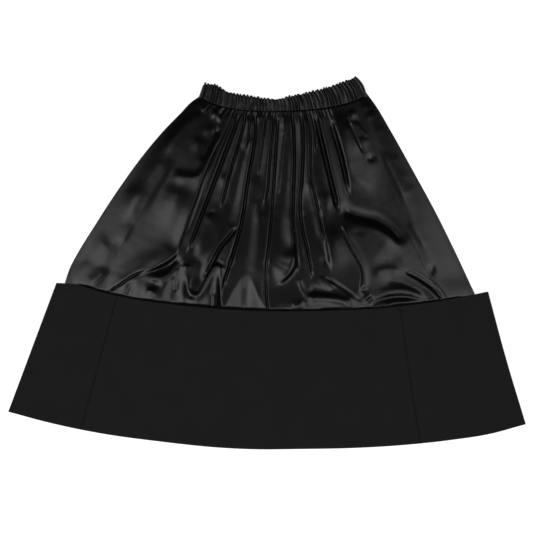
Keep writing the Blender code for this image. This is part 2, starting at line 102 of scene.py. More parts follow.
# Folds and creases, given one by one. A row is one stroke: its path in (across, down), down the skirt or from
# left to right; its rise in mm, one for all or one for each point, negative for a crease; how many mm it
# reaches to its left and its right, which are below and above a path that runs across; and its profile, 1 for
# a sharp ridge and 2 for a round one.
Stroke = namedtuple("Stroke", "path rise left right profile", defaults=(2,))
STROKES = [
    # puckers under the waist on the left
    Stroke([(0.130, 0.020), (0.146, 0.048), (0.164, 0.078)], 1.6, 4, 5),
    Stroke([(0.160, 0.035), (0.180, 0.062), (0.200, 0.085)], 1.4, 4, 5),
    Stroke([(0.068, 0.025), (0.088, 0.043), (0.110, 0.055)], 1.2, 4, 5),
    Stroke([(0.150, 0.100), (0.178, 0.135), (0.204, 0.190)], 1.6, 14, 7),
    Stroke([(0.120, 0.20), (0.165, 0.215), (0.205, 0.225)], 1.3, 14, 9),
    Stroke([(0.064, 0.07), (0.062, 0.18), (0.056, 0.34)], 1.5, 10, 26),
    Stroke([(0.070, 0.088), (0.112, 0.092)], 1.2, 16, 9),
    # soft swells of the left panel, which falls away from its right edge
    Stroke([(0.212, 0.05), (0.230, 0.20), (0.242, 0.36), (0.246, 0.50), (0.246, 0.64), (0.243, 0.78)],
           (2.4, 3.0, 4.2, 5.2, 5.8, 4.4), 66, 5),
    Stroke([(0.222, 0.12), (0.230, 0.20), (0.237, 0.29), (0.236, 0.35), (0.214, 0.385), (0.165, 0.392),
           (0.125, 0.375)], (1.2, 1.6, 2.2, 2.6, 2.6, 2.0, 1.2), 9, 15),
    Stroke([(0.211, 0.12), (0.214, 0.20), (0.214, 0.30)], -1.8, 7, 5, 1.6),
    Stroke([(0.120, 0.490), (0.180, 0.492), (0.246, 0.496)], 2.6, 36, 20),
    Stroke([(0.012, 0.560), (0.055, 0.540), (0.100, 0.515)], 2.2, 40, 18),
    Stroke([(0.104, 0.30), (0.104, 0.45), (0.099, 0.62)], 1.6, 26, 9),
    Stroke([(0.094, 0.66), (0.092, 0.78)], 1.0, 14, 7),
    Stroke([(0.008, 0.70), (0.028, 0.765), (0.056, 0.805), (0.092, 0.822)], 1.8, 40, 12),
    Stroke([(0.006, 0.895), (0.030, 0.910), (0.058, 0.925)], 1.8, 18, 14),
    Stroke([(0.094, 0.890), (0.078, 0.945), (0.054, 1.010)], 1.8, 15, 6),
    Stroke([(-0.005, 0.94), (0.026, 1.010)], -1.8, 6, 7, 1.6),
    # the left panel's edge over the first long folds, the deep wedge under it and the wedge's rim
    Stroke([(0.246, 0.700), (0.243, 0.750), (0.232, 0.792), (0.208, 0.832), (0.182, 0.862), (0.160, 0.884),
           (0.144, 0.915), (0.126, 0.950), (0.104, 1.000)], (1.6, 2.4, 3.2, 3.6, 3.4, 2.8, 2.6, 2.4, 2.2),
           26, 5),
    Stroke([(0.250, 0.755), (0.246, 0.790), (0.233, 0.822), (0.213, 0.848), (0.190, 0.866)],
           (-2.0, -4.5, -5.0, -4.5, -2.4), 4.5, 15, 1.05),
    Stroke([(0.258, 0.785), (0.2555, 0.825), (0.248, 0.860), (0.230, 0.885), (0.206, 0.890), (0.184, 0.898),
           (0.166, 0.918), (0.150, 0.945), (0.136, 0.985)], (1.8, 2.4, 2.6, 2.4, 2.2, 1.8, 1.6, 1.4, 1.2),
           8, 9),
    Stroke([(0.196, 0.912), (0.216, 0.918), (0.236, 0.925)], -2.2, 9, 7),
    Stroke([(0.192, 0.966), (0.211, 0.954), (0.230, 0.964)], 1.8, 8, 5),
    Stroke([(0.164, 0.925), (0.156, 1.010)], -1.3, 7, 6),
    # swells between the long folds on the left
    Stroke([(0.306, 0.385), (0.328, 0.370)], 1.0, 16, 9),
    Stroke([(0.303, 0.600), (0.332, 0.570)], 1.2, 22, 10),
    Stroke([(0.302, 0.530), (0.310, 0.560)], -1.6, 6, 6, 1.8),
    Stroke([(0.344, 0.20), (0.353, 0.35), (0.356, 0.50)], 0.6, 10, 6),
    # puffs over the band on the left, with an S-shaped ridge
    Stroke([(0.284, 0.680), (0.288, 0.750), (0.289, 0.815)], (-0.8, -1.8, -2.0), 12, 11),
    Stroke([(0.262, 0.800), (0.265, 0.870), (0.272, 0.945)], -1.8, 3, 3, 1.6),
    Stroke([(0.268, 0.830), (0.284, 0.822), (0.298, 0.838)], 1.8, 12, 4),
    Stroke([(0.284, 0.835), (0.293, 0.875), (0.302, 0.925), (0.314, 0.945), (0.328, 0.940), (0.338, 0.905),
           (0.345, 0.860), (0.354, 0.820), (0.363, 0.806), (0.372, 0.820), (0.378, 0.870), (0.380, 0.930),
           (0.381, 0.99)], (1.2, 1.8, 2.4, 2.6, 2.6, 2.6, 2.6, 2.6, 2.8, 2.6, 2.4, 2.2, 1.8), 10, 4),
    Stroke([(0.316, 0.740), (0.320, 0.830), (0.317, 0.905)], -1.8, 12, 10),
    Stroke([(0.296, 0.973), (0.323, 0.970)], -1.4, 8, 6),
    Stroke([(0.363, 0.930), (0.363, 1.010)], -1.8, 4, 3.5, 1.7),
    # swells between the long folds in the middle
    Stroke([(0.374, 0.015), (0.388, 0.07)], 1.2, 5, 4),
    Stroke([(0.372, 0.170), (0.392, 0.180)], 0.9, 14, 8),
    Stroke([(0.393, 0.640), (0.384, 0.72), (0.374, 0.79)], 1.0, 4, 4),
    Stroke([(0.414, 0.395), (0.446, 0.405)], 1.2, 20, 16),
    Stroke([(0.420, 0.500), (0.450, 0.490), (0.482, 0.490)], 1.2, 26, 10),
    Stroke([(0.462, 0.490), (0.470, 0.620), (0.468, 0.740), (0.462, 0.870)], (1.6, 2.2, 2.2, 1.8), 16, 15),
    Stroke([(0.512, 0.05), (0.516, 0.20), (0.516, 0.50)], 0.5, 9, 6),
    Stroke([(0.530, 0.10), (0.532, 0.40)], 0.5, 9, 6),
    Stroke([(0.519, 0.015), (0.526, 0.145)], 1.0, 6, 5),
    Stroke([(0.559, 0.480), (0.560, 0.600), (0.560, 0.720)], (0.8, 1.4, 1.8), 17, 5),
    Stroke([(0.563, 0.640), (0.564, 0.740), (0.556, 0.800), (0.535, 0.848), (0.505, 0.880)],
           (1.4, 5.4, 6.2, 4.8, 2.0), 24, 6),
    Stroke([(0.612, 0.400), (0.634, 0.400)], 1.2, 22, 10),
    Stroke([(0.648, 0.480), (0.672, 0.468), (0.702, 0.490)], 1.8, 28, 12),
    Stroke([(0.650, 0.640), (0.685, 0.650), (0.716, 0.640)], 1.4, 22, 16),
    # puffs over the band in the middle
    Stroke([(0.577, 0.850), (0.584, 0.893), (0.597, 0.940)], 1.2, 4, 4),
    Stroke([(0.552, 0.985), (0.590, 0.962)], 1.8, 7, 7),
    Stroke([(0.590, 0.950), (0.620, 0.938), (0.650, 0.942), (0.680, 0.956), (0.706, 0.978)], 2.6, 9, 7),
    Stroke([(0.600, 0.885), (0.630, 0.912), (0.668, 0.925)], -1.5, 9, 8),
    Stroke([(0.626, 0.842), (0.648, 0.872), (0.672, 0.898)], 1.6, 9, 7),
    Stroke([(0.648, 0.845), (0.678, 0.886), (0.704, 0.925), (0.724, 0.965)], (-0.8, -1.8, -1.8, -1.2), 3.5,
           3.5, 1.6),
    Stroke([(0.643, 0.735), (0.650, 0.765), (0.658, 0.800)], -1.3, 9, 7),
    Stroke([(0.654, 0.560), (0.663, 0.680), (0.668, 0.780), (0.672, 0.850)], (2.4, 4.0, 4.0, 3.0), 6, 34),
    Stroke([(0.682, 0.988), (0.706, 0.980)], 1.6, 7, 5),
    # swells on the right, and the deep trough from the middle to the right seam
    Stroke([(0.775, 0.095), (0.802, 0.082), (0.832, 0.092)], 1.4, 34, 12),
    Stroke([(0.852, 0.284), (0.872, 0.288), (0.895, 0.282)], -1.7, 5, 6, 1.6),
    Stroke([(0.850, 0.195), (0.893, 0.195)], 1.0, 14, 6),
    Stroke([(0.860, 0.095), (0.876, 0.14), (0.892, 0.18)], 0.9, 4, 4),
    Stroke([(0.822, 0.350), (0.800, 0.385), (0.776, 0.440)], 1.2, 18, 22),
    Stroke([(0.712, 0.565), (0.742, 0.585), (0.780, 0.608), (0.812, 0.630), (0.836, 0.662), (0.853, 0.705),
           (0.862, 0.74)], (2.2, 2.8, 3.0, 3.0, 2.8, 2.2, 1.6), 26, 8),
    Stroke([(0.722, 0.490), (0.746, 0.535), (0.782, 0.560), (0.818, 0.582), (0.845, 0.620), (0.864, 0.670),
           (0.875, 0.72)], (-2.6, -4.2, -4.4, -4.2, -3.8, -3.0, -2.2), 11, 14, 1.8),
    Stroke([(0.740, 0.620), (0.775, 0.645)], -0.9, 6, 6),
    # puffs over the band on the right
    Stroke([(0.780, 0.772), (0.820, 0.778), (0.862, 0.772)], -0.7, 14, 10),
    Stroke([(0.766, 0.848), (0.790, 0.830), (0.820, 0.830), (0.846, 0.852)], 1.1, 10, 8),
    Stroke([(0.852, 0.840), (0.878, 0.872), (0.900, 0.915), (0.914, 0.955), (0.923, 1.005)],
           (-1.8, -3.0, -3.2, -3.2, -3.2), 4.5, 5, 1.7),
    Stroke([(0.792, 0.860), (0.835, 0.886), (0.862, 0.922), (0.882, 0.960), (0.893, 1.005)], -1.3, 9, 7),
    Stroke([(0.742, 0.990), (0.768, 0.967), (0.800, 0.956), (0.835, 0.960), (0.862, 0.978), (0.880, 1.008)],
           (-1.0, -2.2, -2.8, -2.8, -2.2, -1.2), 5, 5, 1.6),
    Stroke([(0.772, 0.932), (0.820, 0.930), (0.853, 0.948), (0.874, 0.978)], 1.2, 8, 8),
    Stroke([(0.775, 0.994), (0.805, 0.982), (0.845, 0.990)], 1.4, 6, 4),
    Stroke([(0.730, 0.905), (0.746, 0.917)], -2.2, 5, 5, 1.9),
    Stroke([(0.735, 0.958), (0.752, 0.934)], 1.6, 3, 3),
    Stroke([(0.738, 0.970), (0.757, 0.946)], -1.8, 3, 3, 1.8),
    # right strip
    Stroke([(0.925, 0.26), (0.928, 0.52)], 0.7, 5, 14),
    Stroke([(0.912, 0.60), (0.928, 0.76)], 0.7, 6, 14),
    Stroke([(0.912, 0.845), (0.932, 0.862)], -1.6, 10, 9),
    Stroke([(0.842, 0.048), (0.870, 0.056), (0.895, 0.048)], 1.2, 9, 6),
    Stroke([(0.92, 0.095), (1.00, 0.085)], 0.8, 8, 5),
    Stroke([(0.93, 0.040), (0.99, 0.050)], 0.8, 6, 4),
    Stroke([(0.94, 0.16), (1.00, 0.18)], 0.6, 9, 5),
    Stroke([(0.94, 0.32), (1.00, 0.31)], 0.7, 9, 5),
    Stroke([(0.95, 0.39), (1.00, 0.41)], 0.5, 9, 5),
    Stroke([(0.94, 0.47), (1.00, 0.465)], 0.6, 10, 5),
]

# Long folds, which turn in along a sharp crease: its path, its depth and its width in mm, and how high and
# how far the cloth swells beside it, to the left or, where the reach is negative, to the right
Fold = namedtuple("Fold", "path depth width rise reach")
FOLDS = [
    Fold([(0.238, 0.01), (0.246, 0.10), (0.250, 0.22), (0.249, 0.36), (0.250, 0.50), (0.250, 0.64),
         (0.248, 0.76)], (1.4, 1.8, 2.0, 2.4, 2.8, 3.0, 2.6), 2.4, 2.0, 14),
    Fold([(0.190, 0.856), (0.163, 0.890), (0.148, 0.918), (0.131, 0.953), (0.106, 1.000)],
         (0.8, 2.4, 2.8, 2.8, 2.6), 3.0, 0.8, 9),
    Fold([(0.254, 0.01), (0.263, 0.15), (0.268, 0.30), (0.268, 0.45)], (1.6, 2.2, 2.0, 1.2), 2.2, 0.9, 8),
    Fold([(0.270, 0.01), (0.281, 0.10), (0.287, 0.20), (0.289, 0.30), (0.287, 0.42), (0.283, 0.52),
         (0.278, 0.64), (0.274, 0.77)], (3.4, 4.6, 5.0, 5.0, 4.8, 4.2, 3.2, 0.8), 4.4, 2.0, 14),
    Fold([(0.300, 0.01), (0.317, 0.09), (0.328, 0.19), (0.331, 0.30), (0.334, 0.42), (0.336, 0.54)],
         (2.8, 3.6, 3.8, 3.6, 2.8, 0.6), 3.0, 2.2, 15),
    Fold([(0.326, 0.01), (0.344, 0.08), (0.360, 0.15), (0.368, 0.24)], (1.8, 2.2, 2.0, 0.4), 2.2, 1.3, 9),
    Fold([(0.352, 0.01), (0.372, 0.07), (0.388, 0.13), (0.398, 0.21), (0.402, 0.30), (0.405, 0.42),
         (0.408, 0.52), (0.406, 0.62), (0.400, 0.71), (0.393, 0.80), (0.386, 0.93)],
         (2.8, 3.6, 4.2, 4.4, 4.6, 4.8, 5.4, 5.4, 5.0, 4.4, 2.0), 3.4, 2.8, 20),
    Fold([(0.399, 0.60), (0.378, 0.655), (0.359, 0.715), (0.346, 0.79), (0.336, 0.87)],
         (1.2, 4.0, 4.6, 4.2, 2.0), 5.0, 1.6, 12),
    Fold([(0.414, 0.01), (0.424, 0.10), (0.434, 0.22), (0.440, 0.36)], (1.6, 2.0, 1.6, 0.4), 2.2, 1.3, 10),
    Fold([(0.456, 0.01), (0.466, 0.12), (0.473, 0.26), (0.478, 0.40), (0.472, 0.485)],
         (2.2, 2.8, 3.0, 2.8, 0.8), 2.6, 1.6, 11),
    Fold([(0.474, 0.01), (0.487, 0.12), (0.494, 0.25), (0.497, 0.40), (0.497, 0.55), (0.494, 0.68),
         (0.491, 0.80), (0.495, 0.92), (0.498, 1.03)], (2.8, 3.8, 4.2, 4.0, 3.4, 2.4, 2.2, 3.0, 3.4), 3.1,
         1.2, 8),
    Fold([(0.518, 0.01), (0.522, 0.12), (0.520, 0.28), (0.516, 0.45)], (1.2, 1.6, 1.4, 0.8), 2.0, 0.7, 8),
    Fold([(0.556, 0.01), (0.564, 0.10), (0.570, 0.20), (0.571, 0.30), (0.568, 0.40), (0.565, 0.50),
         (0.565, 0.58), (0.572, 0.70), (0.580, 0.84)], (3.0, 4.2, 4.6, 4.6, 4.6, 4.4, 4.0, 3.0, 0.6), 3.2,
         2.2, 15),
    Fold([(0.596, 0.01), (0.607, 0.08), (0.608, 0.18), (0.603, 0.29), (0.596, 0.38), (0.589, 0.46),
         (0.588, 0.54), (0.593, 0.62), (0.602, 0.70), (0.609, 0.79), (0.613, 0.87)],
         (3.2, 4.4, 4.8, 4.8, 4.6, 4.2, 4.0, 3.8, 3.4, 2.4, 0.5), 3.5, 1.5, 9),
    Fold([(0.640, 0.01), (0.643, 0.10), (0.640, 0.20), (0.635, 0.30), (0.635, 0.38), (0.641, 0.46),
         (0.647, 0.54), (0.650, 0.60), (0.656, 0.68)], (2.2, 2.8, 2.8, 2.8, 3.0, 3.0, 2.4, 1.6, 0.2), 2.7,
         2.4, 14),
    Fold([(0.660, 0.01), (0.664, 0.12), (0.662, 0.24)], (1.8, 2.0, 0.4), 2.4, 1.1, 9),
    Fold([(0.676, 0.01), (0.684, 0.11), (0.692, 0.22), (0.699, 0.33), (0.704, 0.44), (0.706, 0.53)],
         (2.6, 4.8, 5.6, 5.8, 5.0, 1.6), 6.0, 2.4, -13),
    Fold([(0.744, 0.01), (0.749, 0.10), (0.755, 0.20), (0.757, 0.30), (0.755, 0.40), (0.752, 0.47)],
         (2.6, 3.8, 4.4, 4.4, 4.2, 2.0), 5.4, 5.2, -46),
    Fold([(0.706, 0.590), (0.718, 0.680), (0.733, 0.755), (0.741, 0.810), (0.739, 0.860), (0.730, 0.905)],
         (0.8, 2.4, 3.0, 3.2, 2.8, 0.8), 2.5, 1.6, -9),
    Fold([(0.836, 0.07), (0.842, 0.16), (0.850, 0.27)], (1.6, 2.8, 0.8), 2.8, 1.8, 18),
]
FOLD_END = 8  # mm in which a fold runs out past its ends
CREASE_LIP = 0.1  # the share of its width by which a crease's lips are rounded

# Stretches of the elastic's front, as shares across, where its ribs are low: the middle and the reach of each
CALM_ELASTIC = [(0.165, 0.030), (0.475, 0.038), (0.63, 0.015), (0.955, 0.02)]
CALMING = 0.8  # the share of their rise that they lose there

# Creases at the band's hem and soft dents at its lower left, in shares of the band
BAND_STROKES = [
    Stroke([(0.299, 0.80), (0.293, 0.985)], -0.6, 4, 3, 1.6),
    Stroke([(0.661, 0.83), (0.670, 0.985)], -0.6, 3, 4, 1.6),
    Stroke([(0.100, 0.60), (0.170, 0.68)], -1.0, 22, 15),
    Stroke([(0.045, 0.78), (0.100, 0.87)], -0.9, 18, 13),
    Stroke([(0.180, 0.86), (0.240, 0.90)], -0.6, 12, 16),
    Stroke([(0.760, 0.30), (0.780, 0.62)], -0.5, 20, 24),
]
# What the band's side panels are cut from: width and length in m, and the tapered panel's area in m2
BAND_SIDE_CUTS = {
    "left": {"flat": (0.34, 0.28), "area": 0.075},
    "right": {"flat": (0.46, 0.28), "area": 0.105},
}

# Unevenness that no stroke states: its height, in mm if nothing else is said, its seed and its cells
# (down, across)
Uneven = namedtuple("Uneven", "height seed cells")
SATIN_UNEVENNESS = [Uneven(0.4, 3, (7, 16)), Uneven(0.06, 4, (50, 70))]
GATHER_UNEVENNESS = [Uneven(0.5, 5, (3, 46))]
BAND_UNEVENNESS = [Uneven(0.35, 11, (5, 16)), Uneven(0.18, 12, (14, 40))]
# Where the gathers' unevenness and the ruffles under the waistband show: they come in between two shares
# across, go out between two more, and end between two shares down
GATHERED = ((0.22, 0.34), (0.64, 0.78), (0.6, 0.85))
RUFFLED = ((0.02, 0.14), (0.74, 0.84), (0, 0.11))
RUFFLES = 46
RUFFLE_RISE = 0.63  # mm
RUFFLE_STRENGTH = [Uneven(1.0, 6, (1, 26))]  # how far one differs from that, as a share of it
RUFFLE_SWAY = (0.8, 19)  # a slow swing off their even places: by how many ruffles, and how fast
RUFFLE_DRIFT = [Uneven(0.7, 7, (2, 17))]  # and an uneven one, in ruffles

# The front of the satin rises to its full loft between two shares of its length and of its width from a side
LOFT_DOWN = (0.45, 0.84)
LOFT_IN = (0.02, 0.28)
# Where it starts to roll over towards the band, as (across, down)
ROLL = [
    (0, 0.82), (0.1, 0.86), (0.18, 0.93), (0.24, 0.93), (0.26, 0.85), (0.285, 0.86), (0.315, 0.95),
    (0.345, 0.88), (0.362, 0.83), (0.376, 0.87), (0.388, 1), (0.400, 0.96), (0.44, 0.835), (0.482, 0.96),
    (0.495, 1), (0.53, 0.97), (0.57, 0.965), (0.6, 0.945), (0.64, 0.94), (0.7, 0.95), (0.745, 0.9),
    (0.78, 0.92), (0.84, 0.93), (0.9, 0.92), (1, 0.88),
]
ROLL_LEAD = 0.01  # it does so that share of the length earlier
LOFT_FALL = 9.0  # how steeply it falls there: shares of the loft for one share of the length
ROLL_EASE = 0.025  # the share of the length over which the fall sets in
SIDE_BULK = 0.55  # the share of the gathers' lift that is left at its sides
EDGE_FADE = 0.08  # the share of the width over which it comes up from the side folds
BAND_ENTRY = (0.989, 1.0)  # where it dips into the band, as shares of the length
ENTRY_UNEVENNESS = [Uneven(0.005, 8, (1, 23))]  # of the upper one, in the same shares
FRONT_CLIMB = (0.88, 0.998)  # where the front, and then the back, climbs to the satin's level in the band
BACK_CLIMB = (0.95, 0.995)
CASING_ENTRY = (-0.008, 0.003)  # where it comes out of the waistband
CASING_EASE = (0.4, 0.2)  # mm between it and the waistband's front, and its back, inside
MADE = (-0.02, 1.05)  # the satin is made from inside the waistband to inside the hem band
EDGE_STEP = 0.03  # the share of the length from which the satin inside them takes its direction

# The meshes: rows and columns, how much closer rows lie at both ends, and how much closer columns lie at a
# crease, within how many of its widths
FRONT_GRID = (160, 300)
SIDE_GRID = (150, 44)
BACK_GRID = (90, 120)
BAND_COLUMNS = (160, 48)  # of a panel and of a side
BAND_EDGE_ROWS = (0, 0.0015, 0.004, 0.008)  # at both edges, as shares of the band's depth
BAND_STITCH_ROWS = (0.014, 0.06, 16)  # from, to and how many, round the row of stitches
BAND_OPEN_ROWS = (0.075, 0.985, 60)
CASING_ROWS = 18
CASING_COLUMNS = (760, 160)  # of its front and its back
CASING_FOOT = 0.985  # the share of the casing's height at which it ends, just above the seam
TURN_COLUMNS = 8
ROW_CROWDING = 0.04
CREASE_SAMPLES = 1600
CREASE_CROWDING = 3.5
CREASE_REACH = 1.4
CREASE_ENDS = (0.04, 0.02)  # they close up from outside a crease's end to inside it, in shares of the length

# The elastic's ribs: patterns, as cells across and down and a shift that sets them apart, and the steps from
# them to each point's rise and the top edge's push outwards. A step is its name, its operation and what goes
# in: numbers, patterns, earlier steps, the tree's sizes and the mesh's own shares.
RIB_NOISES = {
    "drift": (14.0, 0.3, 0.0),
    "lean": (11.0, 0.0, 5.0),
    "strength": (30.0, 0.6, 9.0),
    "crumple": (40.0, 2.0, 2.0),
}
RIB_STEPS = [
    ("drift", "SUBTRACT", "drift", 0.5),
    ("drift", "MULTIPLY", "drift", "Drift"),
    ("lean", "SUBTRACT", "lean", 0.5),
    ("from middle", "SUBTRACT", "down", 0.5),
    ("lean", "MULTIPLY", "lean", "from middle"),
    ("lean", "MULTIPLY", "lean", "Slant"),
    ("wander", "ADD", "drift", "lean"),
    ("phase", "MULTIPLY", "share", "Ribs"),
    ("phase", "ADD", "phase", "wander"),
    ("phase", "MULTIPLY", "phase", np.pi),
    ("wave", "SINE", "phase"),
    ("wave", "ABSOLUTE", "wave"),
    ("wave", "POWER", "wave", 0.7),
    ("strength", "SUBTRACT", "strength", 0.5),
    ("strength", "MULTIPLY_ADD", "strength", 2.6, 1.0),
    ("crumple", "SUBTRACT", "crumple", 0.5),
    ("crumple", "MULTIPLY", "crumple", 0.5),
    ("height", "MULTIPLY", "wave", "strength"),
    ("height", "ADD", "height", "crumple"),
    ("height", "MULTIPLY", "height", "raised"),
    ("rise", "MULTIPLY", "height", "Rise"),
    ("from lip", "MULTIPLY", "down", 8.0),
    ("from lip", "SMOOTH_MIN", "from lip", 1.0, 0.1),
    ("lip", "SUBTRACT", 1.0, "from lip"),
    ("push", "MULTIPLY", "rise", 2.2),
    ("lip", "MULTIPLY", "lip", "push"),
]

# Softboxes over the skirt: place and size in m, and share of the stage's brightness
Softbox = namedtuple("Softbox", "name place size share")
SOFTBOXES = [
    Softbox("left_softbox", (-1.58, -0.55, 3.1), (1.3, 2.3), 1.0),
    Softbox("right_softbox", (1.55, -0.55, 3.1), (1.3, 2.3), 0.75),
    Softbox("low_softbox", (-0.07, -1.45, 3.1), (1.2, 1.0), 1.0),
]
FLOOR = (9.0, -0.0004)  # half the floor's width and its level, in m


def along(stations, values, at):
    """A smooth cubic through the rows of values at their stations, read at the shares in at."""
    stations, values = np.asarray(stations, float), np.asarray(values, float)
    slopes = np.gradient(values, stations, axis=0)
    at = np.asarray(at, float)
    k = np.clip(np.searchsorted(stations, at, side="right") - 1, 0, len(stations) - 2)
    span = stations[k + 1] - stations[k]
    u = (at - stations[k]) / span
    if values.ndim > 1:
        u, span = u[..., None], span[..., None]
    start, end = values[k], values[k + 1]
    leave, arrive = slopes[k] * span, slopes[k + 1] * span
    return (
        start * (1 - u) ** 2 * (1 + 2 * u) + leave * u * (1 - u) ** 2
        + end * u**2 * (3 - 2 * u) - arrive * u**2 * (1 - u)
    )


def outline(points):
    """A smooth line through points, as a function of the share of its length."""
    points = np.asarray(points, float)
    length = np.concatenate([[0], np.cumsum(np.linalg.norm(np.diff(points, axis=0), axis=1))])
    return lambda share: along(length / length[-1], points, share)


def part_of(line, start, end):
    """The stretch of a line from share start to share end."""
    return lambda share: line(start + (end - start) * np.asarray(share, float))


def share_at_x(line, x):
    """The share of a line's length where it crosses x."""
    shares = np.linspace(0, 1, 401)
    return np.interp(x, line(shares)[:, 0], shares)


def same_shape(across, down):
    """Both shares as arrays of one shape."""
    return np.broadcast_arrays(np.asarray(across, float), np.asarray(down, float))


def patch(top, foot, left, right):
    """The place (x, y) of each (across, down) share inside four outlines that meet at their ends."""
    corners = top(0.0), top(1.0), foot(0.0), foot(1.0)

    def inside(across, down):
        across, down = same_shape(across, down)
        s, d = across[..., None], down[..., None]
        flat = (
            (1 - s) * (1 - d) * corners[0] + s * (1 - d) * corners[1]
            + (1 - s) * d * corners[2] + s * d * corners[3]
        )
        return (1 - d) * top(across) + d * foot(across) + (1 - s) * left(down) + s * right(down) - flat

    return inside


BAND_EDGE, BAND_FOOT = outline(BAND_TOP), outline(BAND_HEM)
BODY_FOOT = part_of(BAND_EDGE, *(share_at_x(BAND_EDGE, side[-1][0]) for side in (BODY_LEFT, BODY_RIGHT)))
BODY_WAIST = outline([BODY_LEFT[0], *WAIST_SEAM, BODY_RIGHT[0]])
CASING_SEAM = part_of(BODY_WAIST, *(share_at_x(BODY_WAIST, WAIST_SEAM[end][0]) for end in (0, -1)))
BODY_PATCH = patch(BODY_WAIST, BODY_FOOT, outline(BODY_LEFT), outline(BODY_RIGHT))
BAND_PATCH = patch(BAND_EDGE, BAND_FOOT, outline(BAND_LEFT), outline(BAND_RIGHT))
CASING_PATCH = patch(outline(WAIST_TOP), CASING_SEAM, outline(CASING_LEFT), outline(CASING_RIGHT))


def body_place(across, down):
    """(x, y) on the satin. Above the waist seam and below the band's edge it runs straight on."""
    across, down = same_shape(across, down)
    place = BODY_PATCH(across, np.clip(down, 0, 1))
    ends = ((0, EDGE_STEP, np.minimum(down, 0)), (1, 1 - EDGE_STEP, np.maximum(down - 1, 0)))
    for end, inner, past in ends:
        last, before = (BODY_PATCH(across, np.full_like(down, row)) for row in (end, inner))
        place = place + past[..., None] * (last - before) / (end - inner)
    return place


def band_place(across, down, drop=0.0):
    """(x, y) on the band; drop lowers the hem's middle."""
    place = BAND_PATCH(across, down)
    across, down = same_shape(across, down)
    lower = drop * down**2 * np.sin(np.pi * across)
    return place - np.stack([np.zeros_like(lower), lower], axis=-1)


def width_at(place_of, down):
    """The width in mm at each share down."""
    return np.linalg.norm(place_of(1.0, down) - place_of(0.0, down), axis=-1)


def smoothstep(low, high, value):
    """0 up to low, 1 from high on, and a smooth step between them."""
    t = np.clip((np.asarray(value, float) - low) / (high - low), 0, 1)
    return t * t * (3 - 2 * t)


def window(limits, across, down):
    """1 on the stretch that limits give, fading out at its left, right and lower ends, and 0 elsewhere."""
    left, right, foot = limits
    return smoothstep(*left, across) * (1 - smoothstep(*right, across)) * (1 - smoothstep(*foot, down))


def rumple(seed, cells, across, down):
    """Smooth unevenness from -1 to 1: random values at cells (down, across), joined by smooth cubics."""
    values = np.random.default_rng(seed).uniform(-1, 1, (cells[0] + 1, cells[1] + 1))
    spots = []
    for share, count in ((down, cells[0]), (across, cells[1])):
        share = np.clip(share, 0, 1) * count
        cell = np.clip(share.astype(int), 0, count - 1)
        spots.append((cell, smoothstep(0, 1, share - cell)))
    (r, v), (k, u) = spots
    top = values[r, k] * (1 - u) + values[r, k + 1] * u
    foot = values[r + 1, k] * (1 - u) + values[r + 1, k + 1] * u
    return top * (1 - v) + foot * v


def unevenness(table, across, down):
    """The heights that a table of unevenness adds up to, in mm."""
    return sum(row.height * rumple(row.seed, row.cells, across, down) for row in table)


def at_share(value, share):
    """A value, or the value at each share along a row of values."""
    return np.interp(share, np.linspace(0, 1, np.size(value)), np.atleast_1d(value))


def beside(place, path, widest, place_of):
    """Which places lie near a path, mm to its left and past its ends, share along it and fade there."""
    length = np.ptp(place_of(*np.array(path, float).T), axis=0).sum()
    steps = np.linspace(0, 1, max(8, int(length / 3)))  # a point every 3 mm
    shares = along(np.linspace(0, 1, len(path)), path, steps)
    line = place_of(shares[:, 0], shares[:, 1])
    way = np.gradient(line, axis=0)
    way /= np.linalg.norm(way, axis=1, keepdims=True)
    low, high = line.min(axis=0) - 3 * widest, line.max(axis=0) + 3 * widest
    near = ((place > low) & (place < high)).all(axis=-1)
    away = place[near][:, None] - line
    apart = (away**2).sum(axis=-1)
    # a soft choice of the nearest points keeps wide strokes smooth
    nearness = np.exp(-(apart - apart.min(axis=1, keepdims=True)) / (3 + 0.3 * widest) ** 2)
    nearness /= nearness.sum(axis=1, keepdims=True)
    beyond = (nearness * (away * way).sum(axis=-1)).sum(axis=1)
    aside = (nearness * (away[..., 0] * way[:, 1] - away[..., 1] * way[:, 0])).sum(axis=1)
    share = nearness @ steps
    k = apart.argmin(axis=1)
    past = np.where(k == 0, np.minimum(beyond, 0), np.where(k == len(line) - 1, np.maximum(beyond, 0), 0))
    taper = min(0.5, max(0.1, 2 * widest / length))
    return near, aside, past, share, smoothstep(0, taper, share) * smoothstep(0, taper, 1 - share)


def stroke_height(strokes, place, place_of):
    """Height in mm that strokes add at each place; place_of turns a path's shares into places."""
    height = np.zeros(place.shape[:-1])
    for stroke in strokes:
        widest = max(stroke.left, stroke.right)
        near, aside, past, share, fade = beside(place, stroke.path, widest, place_of)
        off = np.hypot(aside, past) / np.where(aside > 0, stroke.left, stroke.right)
        height[near] += at_share(stroke.rise, share) * fade * np.exp(-(off**stroke.profile))
    return height


def fold_height(place, place_of):
    """Height in mm that the long folds add at each place."""
    height = np.zeros(place.shape[:-1])
    for fold in FOLDS:
        widest = max(abs(fold.reach), fold.width)
        near, aside, past, share, fade = beside(place, fold.path, widest, place_of)
        off = np.abs(aside) / fold.width
        # a crease has straight sides and sharp lips
        lip = np.maximum(1 + CREASE_LIP - off, 0) ** 2 / (4 * CREASE_LIP)
        crease = np.where(off < 1 - CREASE_LIP, 1 - off, lip)
        swell = np.exp(-((aside / fold.reach) ** 2)) * (1 - np.exp(-(off**2))) * (aside * fold.reach > 0)
        rise = at_share(fold.rise, share) * swell - at_share(fold.depth, share) * crease
        height[near] += rise * fade * np.exp(-((past / FOLD_END) ** 2))
    return height


